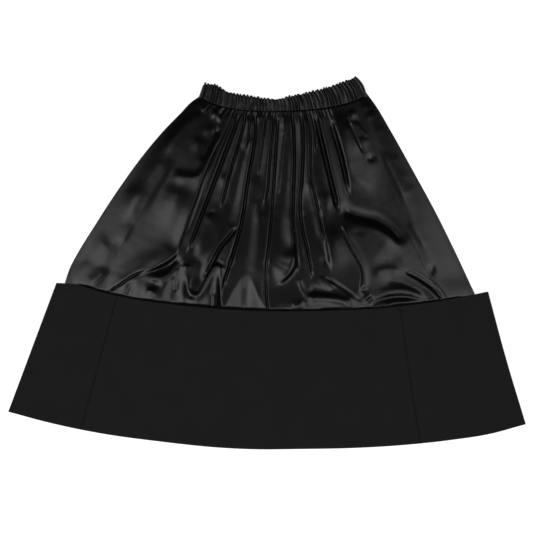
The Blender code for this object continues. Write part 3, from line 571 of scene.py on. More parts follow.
def front_level(cloth, across, down):
    """Level of the satin front's upper side, in mm."""
    across, down = same_shape(across, down)
    place = body_place(across, down)
    middle = smoothstep(*LOFT_IN, across) * smoothstep(*LOFT_IN, 1 - across)
    rolled = np.maximum(down - along(*np.array(ROLL).T, across) + ROLL_LEAD, 0)
    swell = smoothstep(*LOFT_DOWN, down) - LOFT_FALL * rolled**2 / (rolled + ROLL_EASE)
    loft = cloth.loft * middle * swell + cloth.bulk * (SIDE_BULK + (1 - SIDE_BULK) * middle)
    folds = cloth.fold_depth * (stroke_height(STROKES, place, body_place) + fold_height(place, body_place))
    wrinkles = unevenness(SATIN_UNEVENNESS, across, down)
    wrinkles = wrinkles + window(GATHERED, across, down) * unevenness(GATHER_UNEVENNESS, across, down)
    strength = 1 + unevenness(RUFFLE_STRENGTH, across, down)
    swing, speed = RUFFLE_SWAY
    waves = RUFFLES * across + swing * np.sin(speed * across) + unevenness(RUFFLE_DRIFT, across, down)
    ruffle = RUFFLE_RISE * window(RUFFLED, across, down) * strength * np.sin(2 * np.pi * waves)
    raised = loft + folds + wrinkles + ruffle
    raised = np.where(raised > 1, raised, np.exp(np.minimum(raised, 1) - 1))  # valleys stay above the back
    from_side = smoothstep(0, EDGE_FADE, across) * smoothstep(0, EDGE_FADE, 1 - across)
    foot = BAND_ENTRY[0] + unevenness(ENTRY_UNEVENNESS, across, down)
    entering = np.clip((down - foot) / (BAND_ENTRY[1] - foot), 0, 1) ** 3
    shown = cloth.closed + raised * from_side * (1 - entering)
    shown = shown + cloth.tuck_level * smoothstep(*FRONT_CLIMB, down)
    return shown + (cloth.casing_closed - cloth.casing - CASING_EASE[0] - shown) * in_casing(down)


def in_casing(down):
    """0 on the satin that shows, 1 on the part inside the waistband."""
    return 1 - smoothstep(*CASING_ENTRY, down)


def back_level(cloth, down):
    """Level of the satin back's underside: the table, the waistband's back and the hem band's back."""
    in_waist = (cloth.casing + CASING_EASE[1]) * in_casing(down)
    return cloth.tuck_level * smoothstep(*BACK_CLIMB, down) + in_waist


def points_at(place, level):
    """(x, y, z) from a place and a level."""
    return np.concatenate([place, np.broadcast_to(level, place.shape[:-1])[..., None]], axis=-1)


def side_turn(edge, inside, radius, bottom, top):
    """The half round in which a flat tube turns under at its side, a row of points for each row of edge.

    edge is where it reaches furthest out, inside any place further in, and bottom and top are its levels.
    """
    inward = inside - edge
    inward /= np.linalg.norm(inward, axis=1, keepdims=True)
    radius, bottom, top = (np.broadcast_to(value, len(edge))[:, None] for value in (radius, bottom, top))
    angles = np.linspace(np.pi / 2, -np.pi / 2, TURN_COLUMNS + 1)[1:-1]
    sideways = (edge + inward * radius)[:, None] - inward[:, None] * (radius * np.cos(angles))[..., None]
    half = (top - bottom) / 2
    return points_at(sideways, bottom + half + half * np.sin(angles))


def side_panel(top, under, edge, radius, backwards):
    """Points of a side panel: over the top, round the side and back underneath."""
    turn = side_turn(edge, top[:, -1, :2], radius, under[:, 0, 2], top[:, -1, 2])
    points = np.concatenate([top, turn, under], axis=1)
    return points[:, ::-1] if backwards else points


def sheet_mesh(name, points, loop=False, **shares):
    """A smooth mesh over rows and columns of points in mm, with a UV map in metres and its shares."""
    rows, columns = points.shape[:2]
    index = np.arange(rows * columns).reshape(rows, columns)
    if loop:
        index = np.concatenate([index, index[:, :1]], axis=1)
    corners = index[:-1, :-1], index[1:, :-1], index[1:, 1:], index[:-1, 1:]
    faces = np.stack(corners, axis=-1).reshape(-1, 4)
    mesh = bpy.data.meshes.new(name)
    mesh.from_pydata((points.reshape(-1, 3) * MM).tolist(), [], faces.tolist())
    run = np.linalg.norm(np.diff(points, axis=1, append=points[:, -1:]), axis=-1).mean(axis=0)
    fall = np.linalg.norm(np.diff(points, axis=0, append=points[-1:]), axis=-1).mean(axis=1)
    u, v = (np.concatenate([[0], np.cumsum(steps)[:-1]]) * MM for steps in (run, fall))
    uv = np.stack(np.broadcast_arrays(u[None, :], -v[:, None]), axis=-1).reshape(-1, 2)
    layer = mesh.uv_layers.new(name="cloth")
    layer.data.foreach_set("uv", uv[faces.reshape(-1)].astype(np.float32).ravel())
    for key, values in shares.items():
        values = np.broadcast_to(values, (rows, columns)).astype(np.float32)
        mesh.attributes.new(key, "FLOAT", "POINT").data.foreach_set("value", values.ravel())
    mesh.shade_smooth()
    return new_object(name, mesh)


def new_object(name, data):
    """Puts data into the scene as an object."""
    made = bpy.data.objects.new(name, data)
    bpy.context.scene.collection.objects.link(made)
    return made


def give_wall(piece, thickness):
    """Turns a surface into a wall that grows inwards."""
    wall = piece.modifiers.new("wall", "SOLIDIFY")
    wall.thickness = thickness * MM
    wall.offset = -1
    wall.use_rim = True


def finish_piece(piece, material, slot, replaced, **sheet):
    """Gives a piece its material, hangs it on the root body and hides the part that it stands in for."""
    piece.data.materials.clear()
    piece.data.materials.append(material)
    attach(piece, "root")
    if replaced:
        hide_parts(replaced)


def make_panel(name, points, thickness, material, slot, replaced, **sheet):
    """Makes a panel of cloth from its outer points."""
    piece = sheet_mesh(name, points)
    give_wall(piece, thickness)
    finish_piece(piece, material, slot, replaced, **sheet)


# Materials

def linear(colour):
    """A linear RGBA colour from an sRGB hex value such as 17161A."""
    parts = [int(colour[k : k + 2], 16) / 255 for k in (0, 2, 4)]
    return [c / 12.92 if c <= 0.04045 else ((c + 0.055) / 1.055) ** 2.4 for c in parts] + [1.0]


def add_node(tree, kind, inputs=None, **settings):
    """Adds a node with its settings; each input gets a value, or a link from another node's output."""
    node = tree.nodes.new(kind)
    for key, value in settings.items():
        setattr(node, key, value)
    for key, value in (inputs or {}).items():
        if isinstance(value, bpy.types.NodeSocket):
            tree.links.new(value, node.inputs[key])
        else:
            node.inputs[key].default_value = value
    return node


def per_metre(size):
    """How many cells of a size in mm a pattern has in a metre."""
    return 1 / (size * MM)


def new_material(name):
    """An empty material and its tree."""
    material = bpy.data.materials.new(name)
    material.use_nodes = True
    material.node_tree.nodes.clear()
    return material, material.node_tree


def material_named(name, maker, *settings):
    """The material of that name, made once."""
    return bpy.data.materials.get(name) or maker(name, *settings)


def satin_material(name, cloth, roughness):
    """Black polyester satin: long floating threads give a soft, slightly stretched gloss on near-black.

    It is smooth as it leaves the bolt. Where the elastic crushes it, its gloss is wider and fainter.
    """
    material, tree = new_material(name)
    uv = add_node(tree, "ShaderNodeTexCoord").outputs["UV"]
    # Slubs 0.4 mm wide and 6 mm long along the threads, and cloudy differences some 20 mm across
    threads = add_node(tree, "ShaderNodeMapping",
                       {"Vector": uv, "Scale": (per_metre(0.3846), per_metre(6.25), 1)})
    slubs = add_node(tree, "ShaderNodeTexNoise",
                     {"Vector": threads.outputs["Vector"], "Scale": 1.0, "Detail": 2.0, "Roughness": 0.5})
    clouds = add_node(tree, "ShaderNodeTexNoise",
                      {"Vector": uv, "Scale": per_metre(22.22), "Detail": 3.0, "Roughness": 0.55})
    tone = add_node(tree, "ShaderNodeMix", {"Factor": clouds.outputs["Fac"], "A": linear(cloth.satin_dark),
                                            "B": linear(cloth.satin_light)}, data_type="RGBA")
    gloss = add_node(tree, "ShaderNodeMapRange", {"Value": clouds.outputs["Fac"], "To Min": roughness - 0.03,
                                                  "To Max": roughness + 0.04})
    bump = add_node(tree, "ShaderNodeBump",
                    {"Height": slubs.outputs["Fac"], "Strength": 0.12, "Distance": 0.00008})
    tangent = add_node(tree, "ShaderNodeTangent", direction_type="UV_MAP", uv_map="cloth")
    shader = add_node(tree, "ShaderNodeBsdfPrincipled", {
        "Base Color": tone.outputs["Result"], "Roughness": gloss.outputs["Result"],
        "Normal": bump.outputs["Normal"], "Tangent": tangent.outputs["Tangent"],
        "IOR": 1.5, "Anisotropic": 0.15, "Specular Tint": linear(cloth.satin_gloss),
    })
    add_node(tree, "ShaderNodeOutputMaterial", {"Surface": shader.outputs["BSDF"]})
    return material


def gabardine_material(name, cloth):
    """Black gabardine, stiffened: a fine steep twill that scatters light and hardly shines."""
    material, tree = new_material(name)
    uv = add_node(tree, "ShaderNodeTexCoord").outputs["UV"]
    # The twill's ribs lie 0.5 mm apart on the real cloth and are drawn 1.8 mm apart, so that they show. The
    # wave's ribs lie pi / 10 of its unit apart.
    turned = add_node(tree, "ShaderNodeMapping", {"Vector": uv, "Rotation": (0, 0, 1.1)})
    twill = add_node(tree, "ShaderNodeTexWave", {
        "Vector": turned.outputs["Vector"], "Scale": np.pi / 10 * per_metre(1.785), "Distortion": 0.6,
        "Detail": 1.0,
    })
    # Fuzz 1 mm across, and cloudy differences some 50 mm across
    fuzz = add_node(tree, "ShaderNodeTexNoise",
                    {"Vector": uv, "Scale": per_metre(1.111), "Detail": 2.0, "Roughness": 0.6})
    clouds = add_node(tree, "ShaderNodeTexNoise",
                      {"Vector": uv, "Scale": per_metre(55.56), "Detail": 4.0, "Roughness": 0.6})
    tone = add_node(tree, "ShaderNodeMix", {"Factor": clouds.outputs["Fac"], "A": linear(cloth.band_dark),
                                            "B": linear(cloth.band_light)}, data_type="RGBA")
    fine = add_node(tree, "ShaderNodeBump",
                    {"Height": fuzz.outputs["Fac"], "Strength": 0.2, "Distance": 0.0001})
    bump = add_node(tree, "ShaderNodeBump", {"Height": twill.outputs["Fac"], "Normal": fine.outputs["Normal"],
                                             "Strength": 0.25, "Distance": 0.00012})
    shader = add_node(tree, "ShaderNodeBsdfPrincipled", {
        "Base Color": tone.outputs["Result"], "Normal": bump.outputs["Normal"], "Roughness": 0.82,
        "IOR": 1.45, "Specular IOR Level": 0.3, "Sheen Weight": 0.06, "Sheen Roughness": 0.5,
    })
    add_node(tree, "ShaderNodeOutputMaterial", {"Surface": shader.outputs["BSDF"]})
    return material


def thread_material(name, cloth):
    """Black polyester sewing thread: a little glossier than the cloth it sews."""
    material, tree = new_material(name)
    place = add_node(tree, "ShaderNodeTexCoord").outputs["Object"]
    # Its twist, 0.7 mm long
    twist = add_node(tree, "ShaderNodeTexNoise", {"Vector": place, "Scale": per_metre(0.7143), "Detail": 1.0})
    tone = add_node(tree, "ShaderNodeMix", {"Factor": twist.outputs["Fac"], "A": linear(cloth.band_dark),
                                            "B": linear(cloth.thread)}, data_type="RGBA")
    shader = add_node(tree, "ShaderNodeBsdfPrincipled",
                      {"Base Color": tone.outputs["Result"], "IOR": 1.5, "Roughness": 0.5})
    add_node(tree, "ShaderNodeOutputMaterial", {"Surface": shader.outputs["BSDF"]})
    return material


def paper_material(name, stage):
    """A matte white paper sweep, lifted a little so that it stays as pale as a studio cut-out."""
    material, tree = new_material(name)
    place = add_node(tree, "ShaderNodeTexCoord").outputs["Object"]
    # Its grain is far too fine to show and is drawn 3 mm across
    grain = add_node(tree, "ShaderNodeTexNoise", {"Vector": place, "Scale": per_metre(3.333), "Detail": 2.0})
    bump = add_node(tree, "ShaderNodeBump",
                    {"Height": grain.outputs["Fac"], "Strength": 0.05, "Distance": 0.0002})
    shader = add_node(tree, "ShaderNodeBsdfPrincipled", {
        "Normal": bump.outputs["Normal"], "Roughness": 0.95, "Specular IOR Level": 0.1,
        "Base Color": linear(stage.floor_colour), "Emission Color": linear(stage.floor_colour),
        "Emission Strength": stage.floor_lift,
    })
    add_node(tree, "ShaderNodeOutputMaterial", {"Surface": shader.outputs["BSDF"]})
    return material


# Sizes and colours that a user would change

class SkirtCloth(bpy.types.PropertyGroup):
    """Thicknesses, heights, levels, ribs and stitches in millimetres, and colours as sRGB hex."""

    satin: FloatProperty(name="Satin", description="Thickness of the satin in mm", default=0.9, min=0.3)
    band: FloatProperty(name="Band", description="Thickness of the hem band in mm", default=1.9, min=0.5)
    casing: FloatProperty(name="Casing", description="Thickness of the waistband in mm", default=1.6, min=0.5)
    closed: FloatProperty(name="Closed tube", description="Height of the satin at its sides", default=3.0)
    casing_closed: FloatProperty(name="Closed waist", description="Height of the waistband", default=6.6)
    band_closed: FloatProperty(name="Closed band", description="Height of the band's top", default=7.6)
    hem_closed: FloatProperty(name="Closed hem", description="Height of the band's hem", default=4.6)
    tuck_level: FloatProperty(name="Tuck", description="Level of the satin in the band", default=2.3)
    loft: FloatProperty(name="Loft", description="How much higher the satin bells at the band", default=7.0)
    bulk: FloatProperty(name="Bulk", description="How far the gathers lift the front", default=7.6)
    fold_depth: FloatProperty(name="Fold depth", description="Share of the folds' stated rises", default=1.0)
    ribs: IntProperty(name="Ribs", description="Gathers across the elastic's front", default=46, min=4)
    rib_rise: FloatProperty(name="Rib rise", description="Height of the elastic's ribs in mm", default=1.6)
    stitch: FloatProperty(name="Stitch", description="Length of a stitch in mm", default=2.6, min=0.5)
    satin_dark: StringProperty(name="Satin, dark", description="sRGB hex", default="060607")
    satin_light: StringProperty(name="Satin, light", description="sRGB hex", default="0A090B")
    satin_gloss: StringProperty(name="Satin, gloss", description="sRGB hex", default="FFFAFC")
    satin_roughness: FloatProperty(name="Satin roughness", description="On the body", default=0.28, max=1)
    crushed_roughness: FloatProperty(name="Waist roughness", description="At the waist", default=0.34, max=1)
    band_dark: StringProperty(name="Band, dark", description="sRGB hex", default="222023")
    band_light: StringProperty(name="Band, light", description="sRGB hex", default="2A282A")
    thread: StringProperty(name="Thread", description="sRGB hex", default="1E1D20")


class SkirtStage(bpy.types.PropertyGroup):
    """Camera, lights and floor."""

    view_width: FloatProperty(name="View width", description="Width that the camera sees", default=1.0234,
                              subtype="DISTANCE", unit="LENGTH")
    view_x: FloatProperty(name="View centre X", description="What the camera looks at, left to right",
                          default=-0.001, subtype="DISTANCE", unit="LENGTH")
    view_y: FloatProperty(name="View centre Y", description="What the camera looks at, hem to waist",
                          default=-0.0061, subtype="DISTANCE", unit="LENGTH")
    lens: FloatProperty(name="Lens", description="Focal length in mm", default=100.0)
    floor_colour: StringProperty(name="Floor", description="sRGB hex", default="F7F7F7")
    floor_lift: FloatProperty(name="Floor lift", description="Light that the floor adds", default=0.85)
    brightness: FloatProperty(name="Softboxes", description="Brightness of the softboxes", default=2.9)
    ambient: FloatProperty(name="Ambient", description="Strength of the studio's stray light", default=0.015)


# Pieces

class SKIRT_OT_stage(bpy.types.Operator):
    """Sets the camera straight above the skirt, a plain pale floor and soft studio light"""

    bl_idname = "skirt.stage"
    bl_label = "Stage"

    def execute(self, context):
        stage = context.scene.skirt_stage
        camera = bpy.data.cameras.new("camera")
        camera.lens = stage.lens
        camera.sensor_width = 36.0
        eye = new_object("camera", camera)
        eye.location = (stage.view_x, stage.view_y, stage.view_width * stage.lens / camera.sensor_width)
        context.scene.camera = eye

        half, level = FLOOR
        corners = [(-half, -half, level), (half, -half, level), (half, half, level), (-half, half, level)]
        plane = bpy.data.meshes.new("floor")
        plane.from_pydata(corners, [], [(0, 1, 2, 3)])
        plane.materials.append(material_named("white_paper", paper_material, stage))
        new_object("floor", plane)

        radiance = stage.brightness * np.pi
        for box in SOFTBOXES:
            light = bpy.data.lights.new(box.name, "AREA")
            light.shape = "RECTANGLE"
            light.size, light.size_y = box.size
            light.energy = box.share * radiance * box.size[0] * box.size[1]
            new_object(box.name, light).location = box.place
        world = bpy.data.worlds.new("studio")
        world.use_nodes = True
        background = world.node_tree.nodes["Background"]
        background.inputs["Color"].default_value = linear("FFFFFF")
        background.inputs["Strength"].default_value = stage.ambient
        context.scene.world = world
        context.scene.view_settings.view_transform = "Standard"
        return {"FINISHED"}


class SKIRT_OT_satin(bpy.types.Operator):
    """Makes the four satin panels: the gathered front, the two sides that turn under, and the back"""

    bl_idname = "skirt.satin"
    bl_label = "Satin panels"

    def execute(self, context):
        cloth = context.scene.skirt_cloth
        satin = material_named("black_satin", satin_material, cloth, cloth.satin_roughness)
        self.front(cloth, satin)
        self.side(cloth, satin, "left", SEAM_LEFT, 0)
        self.side(cloth, satin, "right", SEAM_RIGHT, 1)
        self.back(cloth, satin)
        return {"FINISHED"}

    @staticmethod
    def rows(count):
        """Shares down the satin, closer together at the waist and above the band."""
        even = np.linspace(0, 1, count)
        return MADE[0] + (MADE[1] - MADE[0]) * (even - ROW_CROWDING * np.sin(2 * np.pi * even))

    @staticmethod
    def seam_share(down, seam, away):
        """Shares across of a panel's edge at a seam, half the seam's gap away from it."""
        return along(STATIONS, seam, np.minimum(down, 1)) + away * SEAM_GAP / 2 / width_at(body_place, down)

    @staticmethod
    def columns(down, left, right):
        """Shares across the front in each row, close together at the long folds to keep these sharp."""
        fine = left[:, None] + (right - left)[:, None] * np.linspace(0, 1, CREASE_SAMPLES)
        width = width_at(body_place, down)[:, None]
        density = np.ones_like(fine)
        outside, inside = CREASE_ENDS
        for fold in FOLDS:
            path = np.array(fold.path)
            start, end = path[0, 1], path[-1, 1]
            shown = smoothstep(start - outside, start + inside, down)
            shown = shown * (1 - smoothstep(end - inside, end + outside, down))
            crease = along(path[:, 1], path[:, 0], np.clip(down, start, end))[:, None]
            off = (fine - crease) * width / (CREASE_REACH * fold.width)
            density += CREASE_CROWDING * shown[:, None] * np.exp(-(off**4))
        run = np.cumsum(density, axis=1)
        run = (run - run[:, :1]) / (run[:, -1:] - run[:, :1])
        places = np.array([np.interp(np.linspace(0, 1, FRONT_GRID[1]), *row) for row in zip(run, fine)])
        places[:, 1] = places[:, 0] + SEAM_TURN[0] / width[:, 0]
        places[:, -2] = places[:, -1] - SEAM_TURN[1] / width[:, 0]
        return places

    def front(self, cloth, satin):
        """The front panel, from the left seam to the right one."""
        down = self.rows(FRONT_GRID[0])
        left, right = self.seam_share(down, SEAM_LEFT, 1), self.seam_share(down, SEAM_RIGHT, -1)
        across = self.columns(down, left, right)
        down = np.broadcast_to(down[:, None], across.shape)
        points = points_at(body_place(across, down), front_level(cloth, across, down))
        make_panel("front_satin", points, cloth.satin, satin, "satin", "body_front",
                   flat=(0.80, 0.45), area=0.28, held="gathered", rests_on=["back_satin"])

    def side(self, cloth, satin, name, seam, edge_share):
        """A side panel, from the front seam round the side fold to the back seam or the other way round."""
        away = 1 if edge_share == 0 else -1
        down = self.rows(SIDE_GRID[0])
        radius = cloth.closed / 2
        start = self.seam_share(down, seam, -away)
        turn = edge_share + away * radius / width_at(body_place, down)
        steps = np.concatenate([[0, 0.005], np.linspace(0.025, 1, SIDE_GRID[1] - 2)])  # closer at the seam
        across = start[:, None] + (turn - start)[:, None] * steps
        rows = np.broadcast_to(down[:, None], across.shape)
        place = body_place(across, rows)
        top = points_at(place, front_level(cloth, across, rows))
        under = points_at(place, back_level(cloth, rows))[:, ::-1]
        edge = body_place(np.full(len(down), float(edge_share)), down)
        points = side_panel(top, under, edge, radius, away > 0)
        make_panel(f"side_satin_{name}", points, cloth.satin, satin, "satin", f"body_side_{name}",
                   flat=(0.20, 0.45), area=0.055, held="folded", rests_on=["back_satin"])

    def back(self, cloth, satin):
        """The back panel, facing down."""
        down = self.rows(BACK_GRID[0])
        left, right = self.seam_share(down, SEAM_LEFT, 1), self.seam_share(down, SEAM_RIGHT, -1)
        across = left[:, None] + (right - left)[:, None] * np.linspace(1, 0, BACK_GRID[1])
        down = np.broadcast_to(down[:, None], across.shape)
        points = points_at(body_place(across, down), back_level(cloth, down))
        make_panel("back_satin", points, cloth.satin, satin, "satin", "body_back",
                   flat=(0.78, 0.45), area=0.27, held="laid", rests_on=["floor"])


class SKIRT_OT_band(bpy.types.Operator):
    """Makes the four panels of the stiff hem band and the row of stitches along its top"""

    bl_idname = "skirt.band"
    bl_label = "Hem band"

    def execute(self, context):
        cloth = context.scene.skirt_cloth
        gabardine = material_named("black_gabardine", gabardine_material, cloth)
        self.panel(cloth, gabardine, "front", False)
        self.panel(cloth, gabardine, "back", True)
        self.side(cloth, gabardine, "left", BAND_SEAMS[0], 0)
        self.side(cloth, gabardine, "right", BAND_SEAMS[1], 1)
        across = np.linspace(STITCH_IN, 1 - STITCH_IN, 400)
        down = np.full(len(across), STITCH_DOWN)
        level = self.closed(cloth, down) + self.relief(across, down) + 0.05  # bedded in the cloth
        thread = material_named("black_thread", thread_material, cloth)
        sew_row("band_stitches", points_at(band_place(across, down), level), cloth, thread)
        return {"FINISHED"}

    @staticmethod
    def rows():
        """Shares down the band, closer at its folded edges and at the row of stitches under the top one."""
        edges = np.array(BAND_EDGE_ROWS)
        return np.concatenate([edges, np.linspace(*BAND_STITCH_ROWS), np.linspace(*BAND_OPEN_ROWS),
                               1 - edges[::-1]])

    @staticmethod
    def closed(cloth, down):
        """Height of the closed band: full at its top, thinner at its hem."""
        return cloth.band_closed + (cloth.hem_closed - cloth.band_closed) * smoothstep(*BAND_THINS, down)

    @staticmethod
    def relief(across, down):
        """Soft unevenness of the stiff cloth, the rounded folds at both edges and the stitched line."""
        soft = unevenness(BAND_UNEVENNESS, across, down)
        from_edge = np.minimum(down, 1 - down)
        lip = np.clip(from_edge * BAND_DEPTH / BAND_LIP[0], 0, 1)
        rounded = -BAND_LIP[1] * (1 - np.sqrt(np.clip(1 - (1 - lip) ** 2, 0, 1)))
        stitched = -STITCH_DIP[1] * np.exp(-(((down - STITCH_DOWN) * BAND_DEPTH / STITCH_DIP[0]) ** 2))
        creased = stroke_height(BAND_STROKES, band_place(across, down), band_place)
        return (soft + creased) * smoothstep(0, BAND_CALM[0], from_edge) + rounded + stitched

    @staticmethod
    def pressed(across):
        """How far the cloth is pressed down at the band's seams."""
        from_seam = np.minimum(np.abs(across - BAND_SEAMS[0]), np.abs(across - BAND_SEAMS[1]))
        return -SEAM_PRESS[1] * np.clip(1 - from_seam / SEAM_PRESS[0], 0, 1) ** 2

    def panel(self, cloth, gabardine, name, back):
        """The front panel, or the back one, which lies flat and faces down."""
        down = self.rows()[:, None]
        gap = SEAM_GAP / 2 / width_at(band_place, down[:, 0])[:, None]
        start, end = BAND_SEAMS
        across = (start + gap) + (end - start - 2 * gap) * np.linspace(0, 1, BAND_COLUMNS[0])
        down = np.broadcast_to(down, across.shape)
        if back:
            points = points_at(band_place(across, down, BACK_HEM_DROP), 0.0)[:, ::-1]
        else:
            level = self.closed(cloth, down) + self.relief(across, down) + self.pressed(across)
            points = points_at(band_place(across, down), level)
        make_panel(f"{name}_band", points, cloth.band, gabardine, "gabardine", f"band_{name}",
                   flat=(0.70, 0.28), area=0.185, held="laid", rests_on=["floor" if back else "front_satin"])

    def side(self, cloth, gabardine, name, seam, edge_share):
        """A side panel, from the front seam round the side fold to the back seam or the other way round."""
        away = 1 if edge_share == 0 else -1
        down = self.rows()
        radius = self.closed(cloth, down) / 2
        width = width_at(band_place, down)
        start = seam - away * SEAM_GAP / 2 / width
        turn = edge_share + away * radius / width
        across = start[:, None] + (turn - start)[:, None] * np.linspace(0, 1, BAND_COLUMNS[1])
        rows = np.broadcast_to(down[:, None], across.shape)
        relief = self.relief(across, rows) * smoothstep(0, BAND_CALM[1], np.abs(across - turn[:, None]))
        top = points_at(band_place(across, rows), self.closed(cloth, rows) + relief + self.pressed(across))
        under = points_at(band_place(across, rows, BACK_HEM_DROP), 0.0)[:, ::-1]
        edge = band_place(np.full(len(down), float(edge_share)), down)
        points = side_panel(top, under, edge, radius, away > 0)
        make_panel(f"side_band_{name}", points, cloth.band, gabardine, "gabardine", f"band_side_{name}",
                   **BAND_SIDE_CUTS[name], held="folded", rests_on=["floor"])


class SKIRT_OT_waistband(bpy.types.Operator):
    """Makes the elastic waistband: a ring of satin gathered into uneven ribs"""

    bl_idname = "skirt.waistband"
    bl_label = "Waistband"

    def execute(self, context):
        cloth = context.scene.skirt_cloth
        satin = material_named("crushed_satin", satin_material, cloth, cloth.crushed_roughness)
        down = np.linspace(0, CASING_FOOT, CASING_ROWS)
        radius = cloth.casing_closed / 2
        margin = (radius / width_at(CASING_PATCH, down))[:, None]
        front = margin + (1 - 2 * margin) * np.linspace(0, 1, CASING_COLUMNS[0])
        back = margin + (1 - 2 * margin) * np.linspace(1, 0, CASING_COLUMNS[1])
        rows = down[:, None]
        over = points_at(CASING_PATCH(front, rows), cloth.casing_closed)
        under = points_at(CASING_PATCH(back, rows), 0.0)
        left, right = (
            side_turn(CASING_PATCH(np.full(len(down), share), down), over[:, column, :2], radius, 0.0,
                      cloth.casing_closed)
            for share, column in ((0.0, 0), (1.0, -1))
        )
        points = np.concatenate([over, right, under, left[:, ::-1]], axis=1)
        turned = np.ones(right.shape[:2])
        share = np.concatenate([front, turned, back, 0 * turned], axis=1)
        middle_row = front[len(down) // 2]
        calm = sum(np.exp(-(((middle_row - centre) / reach) ** 2)) for centre, reach in CALM_ELASTIC)
        raised = np.concatenate([1 - CALMING * calm, np.zeros(points.shape[1] - len(calm))])
        piece = sheet_mesh("waist_casing", points, loop=True, share=share, down=rows, raised=raised)
        gather_ribs(piece, cloth, satin)
        give_wall(piece, cloth.casing)
        finish_piece(piece, satin, "satin", "waistband",
                     flat=(0.95, 0.026), held="gathered", rests_on=["floor"])
        return {"FINISHED"}


# Geometry Nodes

def new_tree(name, geometry, sizes, result):
    """A tree that takes a geometry and named sizes and gives a geometry, and what its inputs give."""
    tree = bpy.data.node_groups.new(name, "GeometryNodeTree")
    tree.interface.new_socket(geometry, in_out="INPUT", socket_type="NodeSocketGeometry")
    for key in sizes:
        tree.interface.new_socket(key, in_out="INPUT", socket_type="NodeSocketFloat")
    tree.interface.new_socket(result, in_out="OUTPUT", socket_type="NodeSocketGeometry")
    return tree, add_node(tree, "NodeGroupInput").outputs


def run_tree(piece, tree, sizes, geometry, material):
    """Ends a tree in real, painted geometry, runs it on a piece and keeps the result as a plain mesh."""
    real = add_node(tree, "GeometryNodeRealizeInstances", {"Geometry": geometry})
    painted = add_node(tree, "GeometryNodeSetMaterial",
                       {"Geometry": real.outputs["Geometry"], "Material": material})
    add_node(tree, "NodeGroupOutput", {0: painted.outputs["Geometry"]})
    made = piece.modifiers.new("nodes", "NODES")
    made.node_group = tree
    for item in tree.interface.items_tree:
        if item.item_type == "SOCKET" and item.in_out == "INPUT" and item.name in sizes:
            made[item.identifier] = sizes[item.name]
    graph = bpy.context.evaluated_depsgraph_get()
    mesh = bpy.data.meshes.new_from_object(piece.evaluated_get(graph))
    piece.modifiers.clear()
    piece.data = mesh


def gather_ribs(piece, cloth, satin):
    """Raises uneven ribs on a ring's front, along the steps that RIB_STEPS gives."""
    sizes = {"Ribs": float(cloth.ribs), "Rise": cloth.rib_rise * MM, "Drift": 1.7, "Slant": 1.4}
    tree, given = new_tree("elastic_ribs", "Cloth", sizes, "Cloth")
    found = {key: given[key] for key in sizes}
    for key in ("share", "down", "raised"):
        found[key] = add_node(tree, "GeometryNodeInputNamedAttribute", {"Name": key}).outputs["Attribute"]
    place = add_node(tree, "ShaderNodeCombineXYZ", {"X": found["share"], "Y": found["down"]})
    for key, (across, down, shift) in RIB_NOISES.items():
        cells = {0: place.outputs["Vector"], 1: (across, down, 0.0), 2: (0.0, 0.0, shift)}
        spread = add_node(tree, "ShaderNodeVectorMath", cells, operation="MULTIPLY_ADD")
        noise = add_node(tree, "ShaderNodeTexNoise",
                         {"Vector": spread.outputs["Vector"], "Scale": 1.0, "Detail": 1.0, "Roughness": 0.4})
        found[key] = noise.outputs["Fac"]
    for key, operation, *inputs in RIB_STEPS:
        inputs = {k: found.get(value, value) for k, value in enumerate(inputs)}
        found[key] = add_node(tree, "ShaderNodeMath", inputs, operation=operation).outputs[0]
    offset = add_node(tree, "ShaderNodeCombineXYZ", {"Y": found["lip"], "Z": found["rise"]})
    moved = add_node(tree, "GeometryNodeSetPosition",
                     {"Geometry": given["Cloth"], "Offset": offset.outputs["Vector"]})
    run_tree(piece, tree, sizes, moved.outputs["Geometry"], satin)


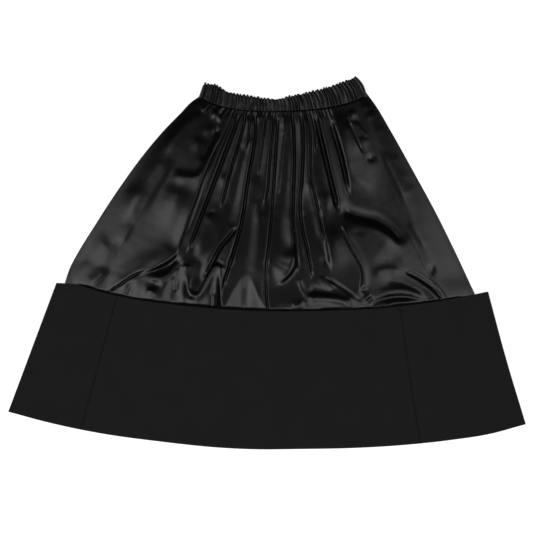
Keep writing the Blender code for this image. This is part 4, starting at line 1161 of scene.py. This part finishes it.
def sew_row(name, points, cloth, thread):
    """Sews a row of single stitches along a line of points in mm."""
    line = bpy.data.meshes.new(name)
    line.from_pydata((points * MM).tolist(), [(k, k + 1) for k in range(len(points) - 1)], [])
    piece = new_object(name, line)
    sizes = {"Pitch": cloth.stitch * MM, "Length": 0.8 * cloth.stitch * MM}
    tree, given = new_tree("row_of_stitches", "Line", sizes, "Stitches")
    curve = add_node(tree, "GeometryNodeMeshToCurve", {"Mesh": given["Line"]})
    places = add_node(tree, "GeometryNodeCurveToPoints",
                      {"Curve": curve.outputs["Curve"], "Length": given["Pitch"]}, mode="LENGTH")
    # A plump grain, about four times as long as it is wide, stands for the thread between two needle holes.
    grain = add_node(tree, "GeometryNodeMeshUVSphere", {"Segments": 6, "Rings": 5, "Radius": 0.5})
    turn = add_node(tree, "FunctionNodeAlignRotationToVector",
                    {"Vector": places.outputs["Tangent"]}, axis="X")
    width = add_node(tree, "ShaderNodeMath", {0: given["Length"], 1: 0.26}, operation="MULTIPLY").outputs[0]
    size = add_node(tree, "ShaderNodeCombineXYZ", {"X": given["Length"], "Y": width, "Z": width})
    stitches = add_node(tree, "GeometryNodeInstanceOnPoints", {
        "Points": places.outputs["Points"], "Instance": grain.outputs["Mesh"],
        "Rotation": turn.outputs["Rotation"], "Scale": size.outputs["Vector"],
    })
    run_tree(piece, tree, sizes, stitches.outputs["Instances"], thread)
    finish_piece(piece, thread, "gabardine", None)


class SKIRT_PT_panel(bpy.types.Panel):
    """Lists the skirt's pieces"""

    bl_idname = "SKIRT_PT_panel"
    bl_label = "Gathered Skirt"
    bl_space_type = "VIEW_3D"
    bl_region_type = "UI"
    bl_category = "Skirt"

    def draw(self, context):
        for operator in OPERATORS:
            self.layout.operator(operator.bl_idname)
        for group in (context.scene.skirt_cloth, context.scene.skirt_stage):
            box = self.layout.box()
            for key in group.__annotations__:
                box.prop(group, key)


OPERATORS = (SKIRT_OT_stage, SKIRT_OT_satin, SKIRT_OT_band, SKIRT_OT_waistband)
CLASSES = (SkirtCloth, SkirtStage, *OPERATORS, SKIRT_PT_panel)


def register():
    for kind in CLASSES:
        bpy.utils.register_class(kind)
    bpy.types.Scene.skirt_cloth = PointerProperty(type=SkirtCloth)
    bpy.types.Scene.skirt_stage = PointerProperty(type=SkirtStage)


def unregister():
    del bpy.types.Scene.skirt_stage
    del bpy.types.Scene.skirt_cloth
    for kind in reversed(CLASSES):
        bpy.utils.unregister_class(kind)


def main():
    register()
    bpy.ops.skirt.stage()
    bpy.ops.skirt.satin()
    bpy.ops.skirt.band()
    bpy.ops.skirt.waistband()


if __name__ == "__main__":
    main()
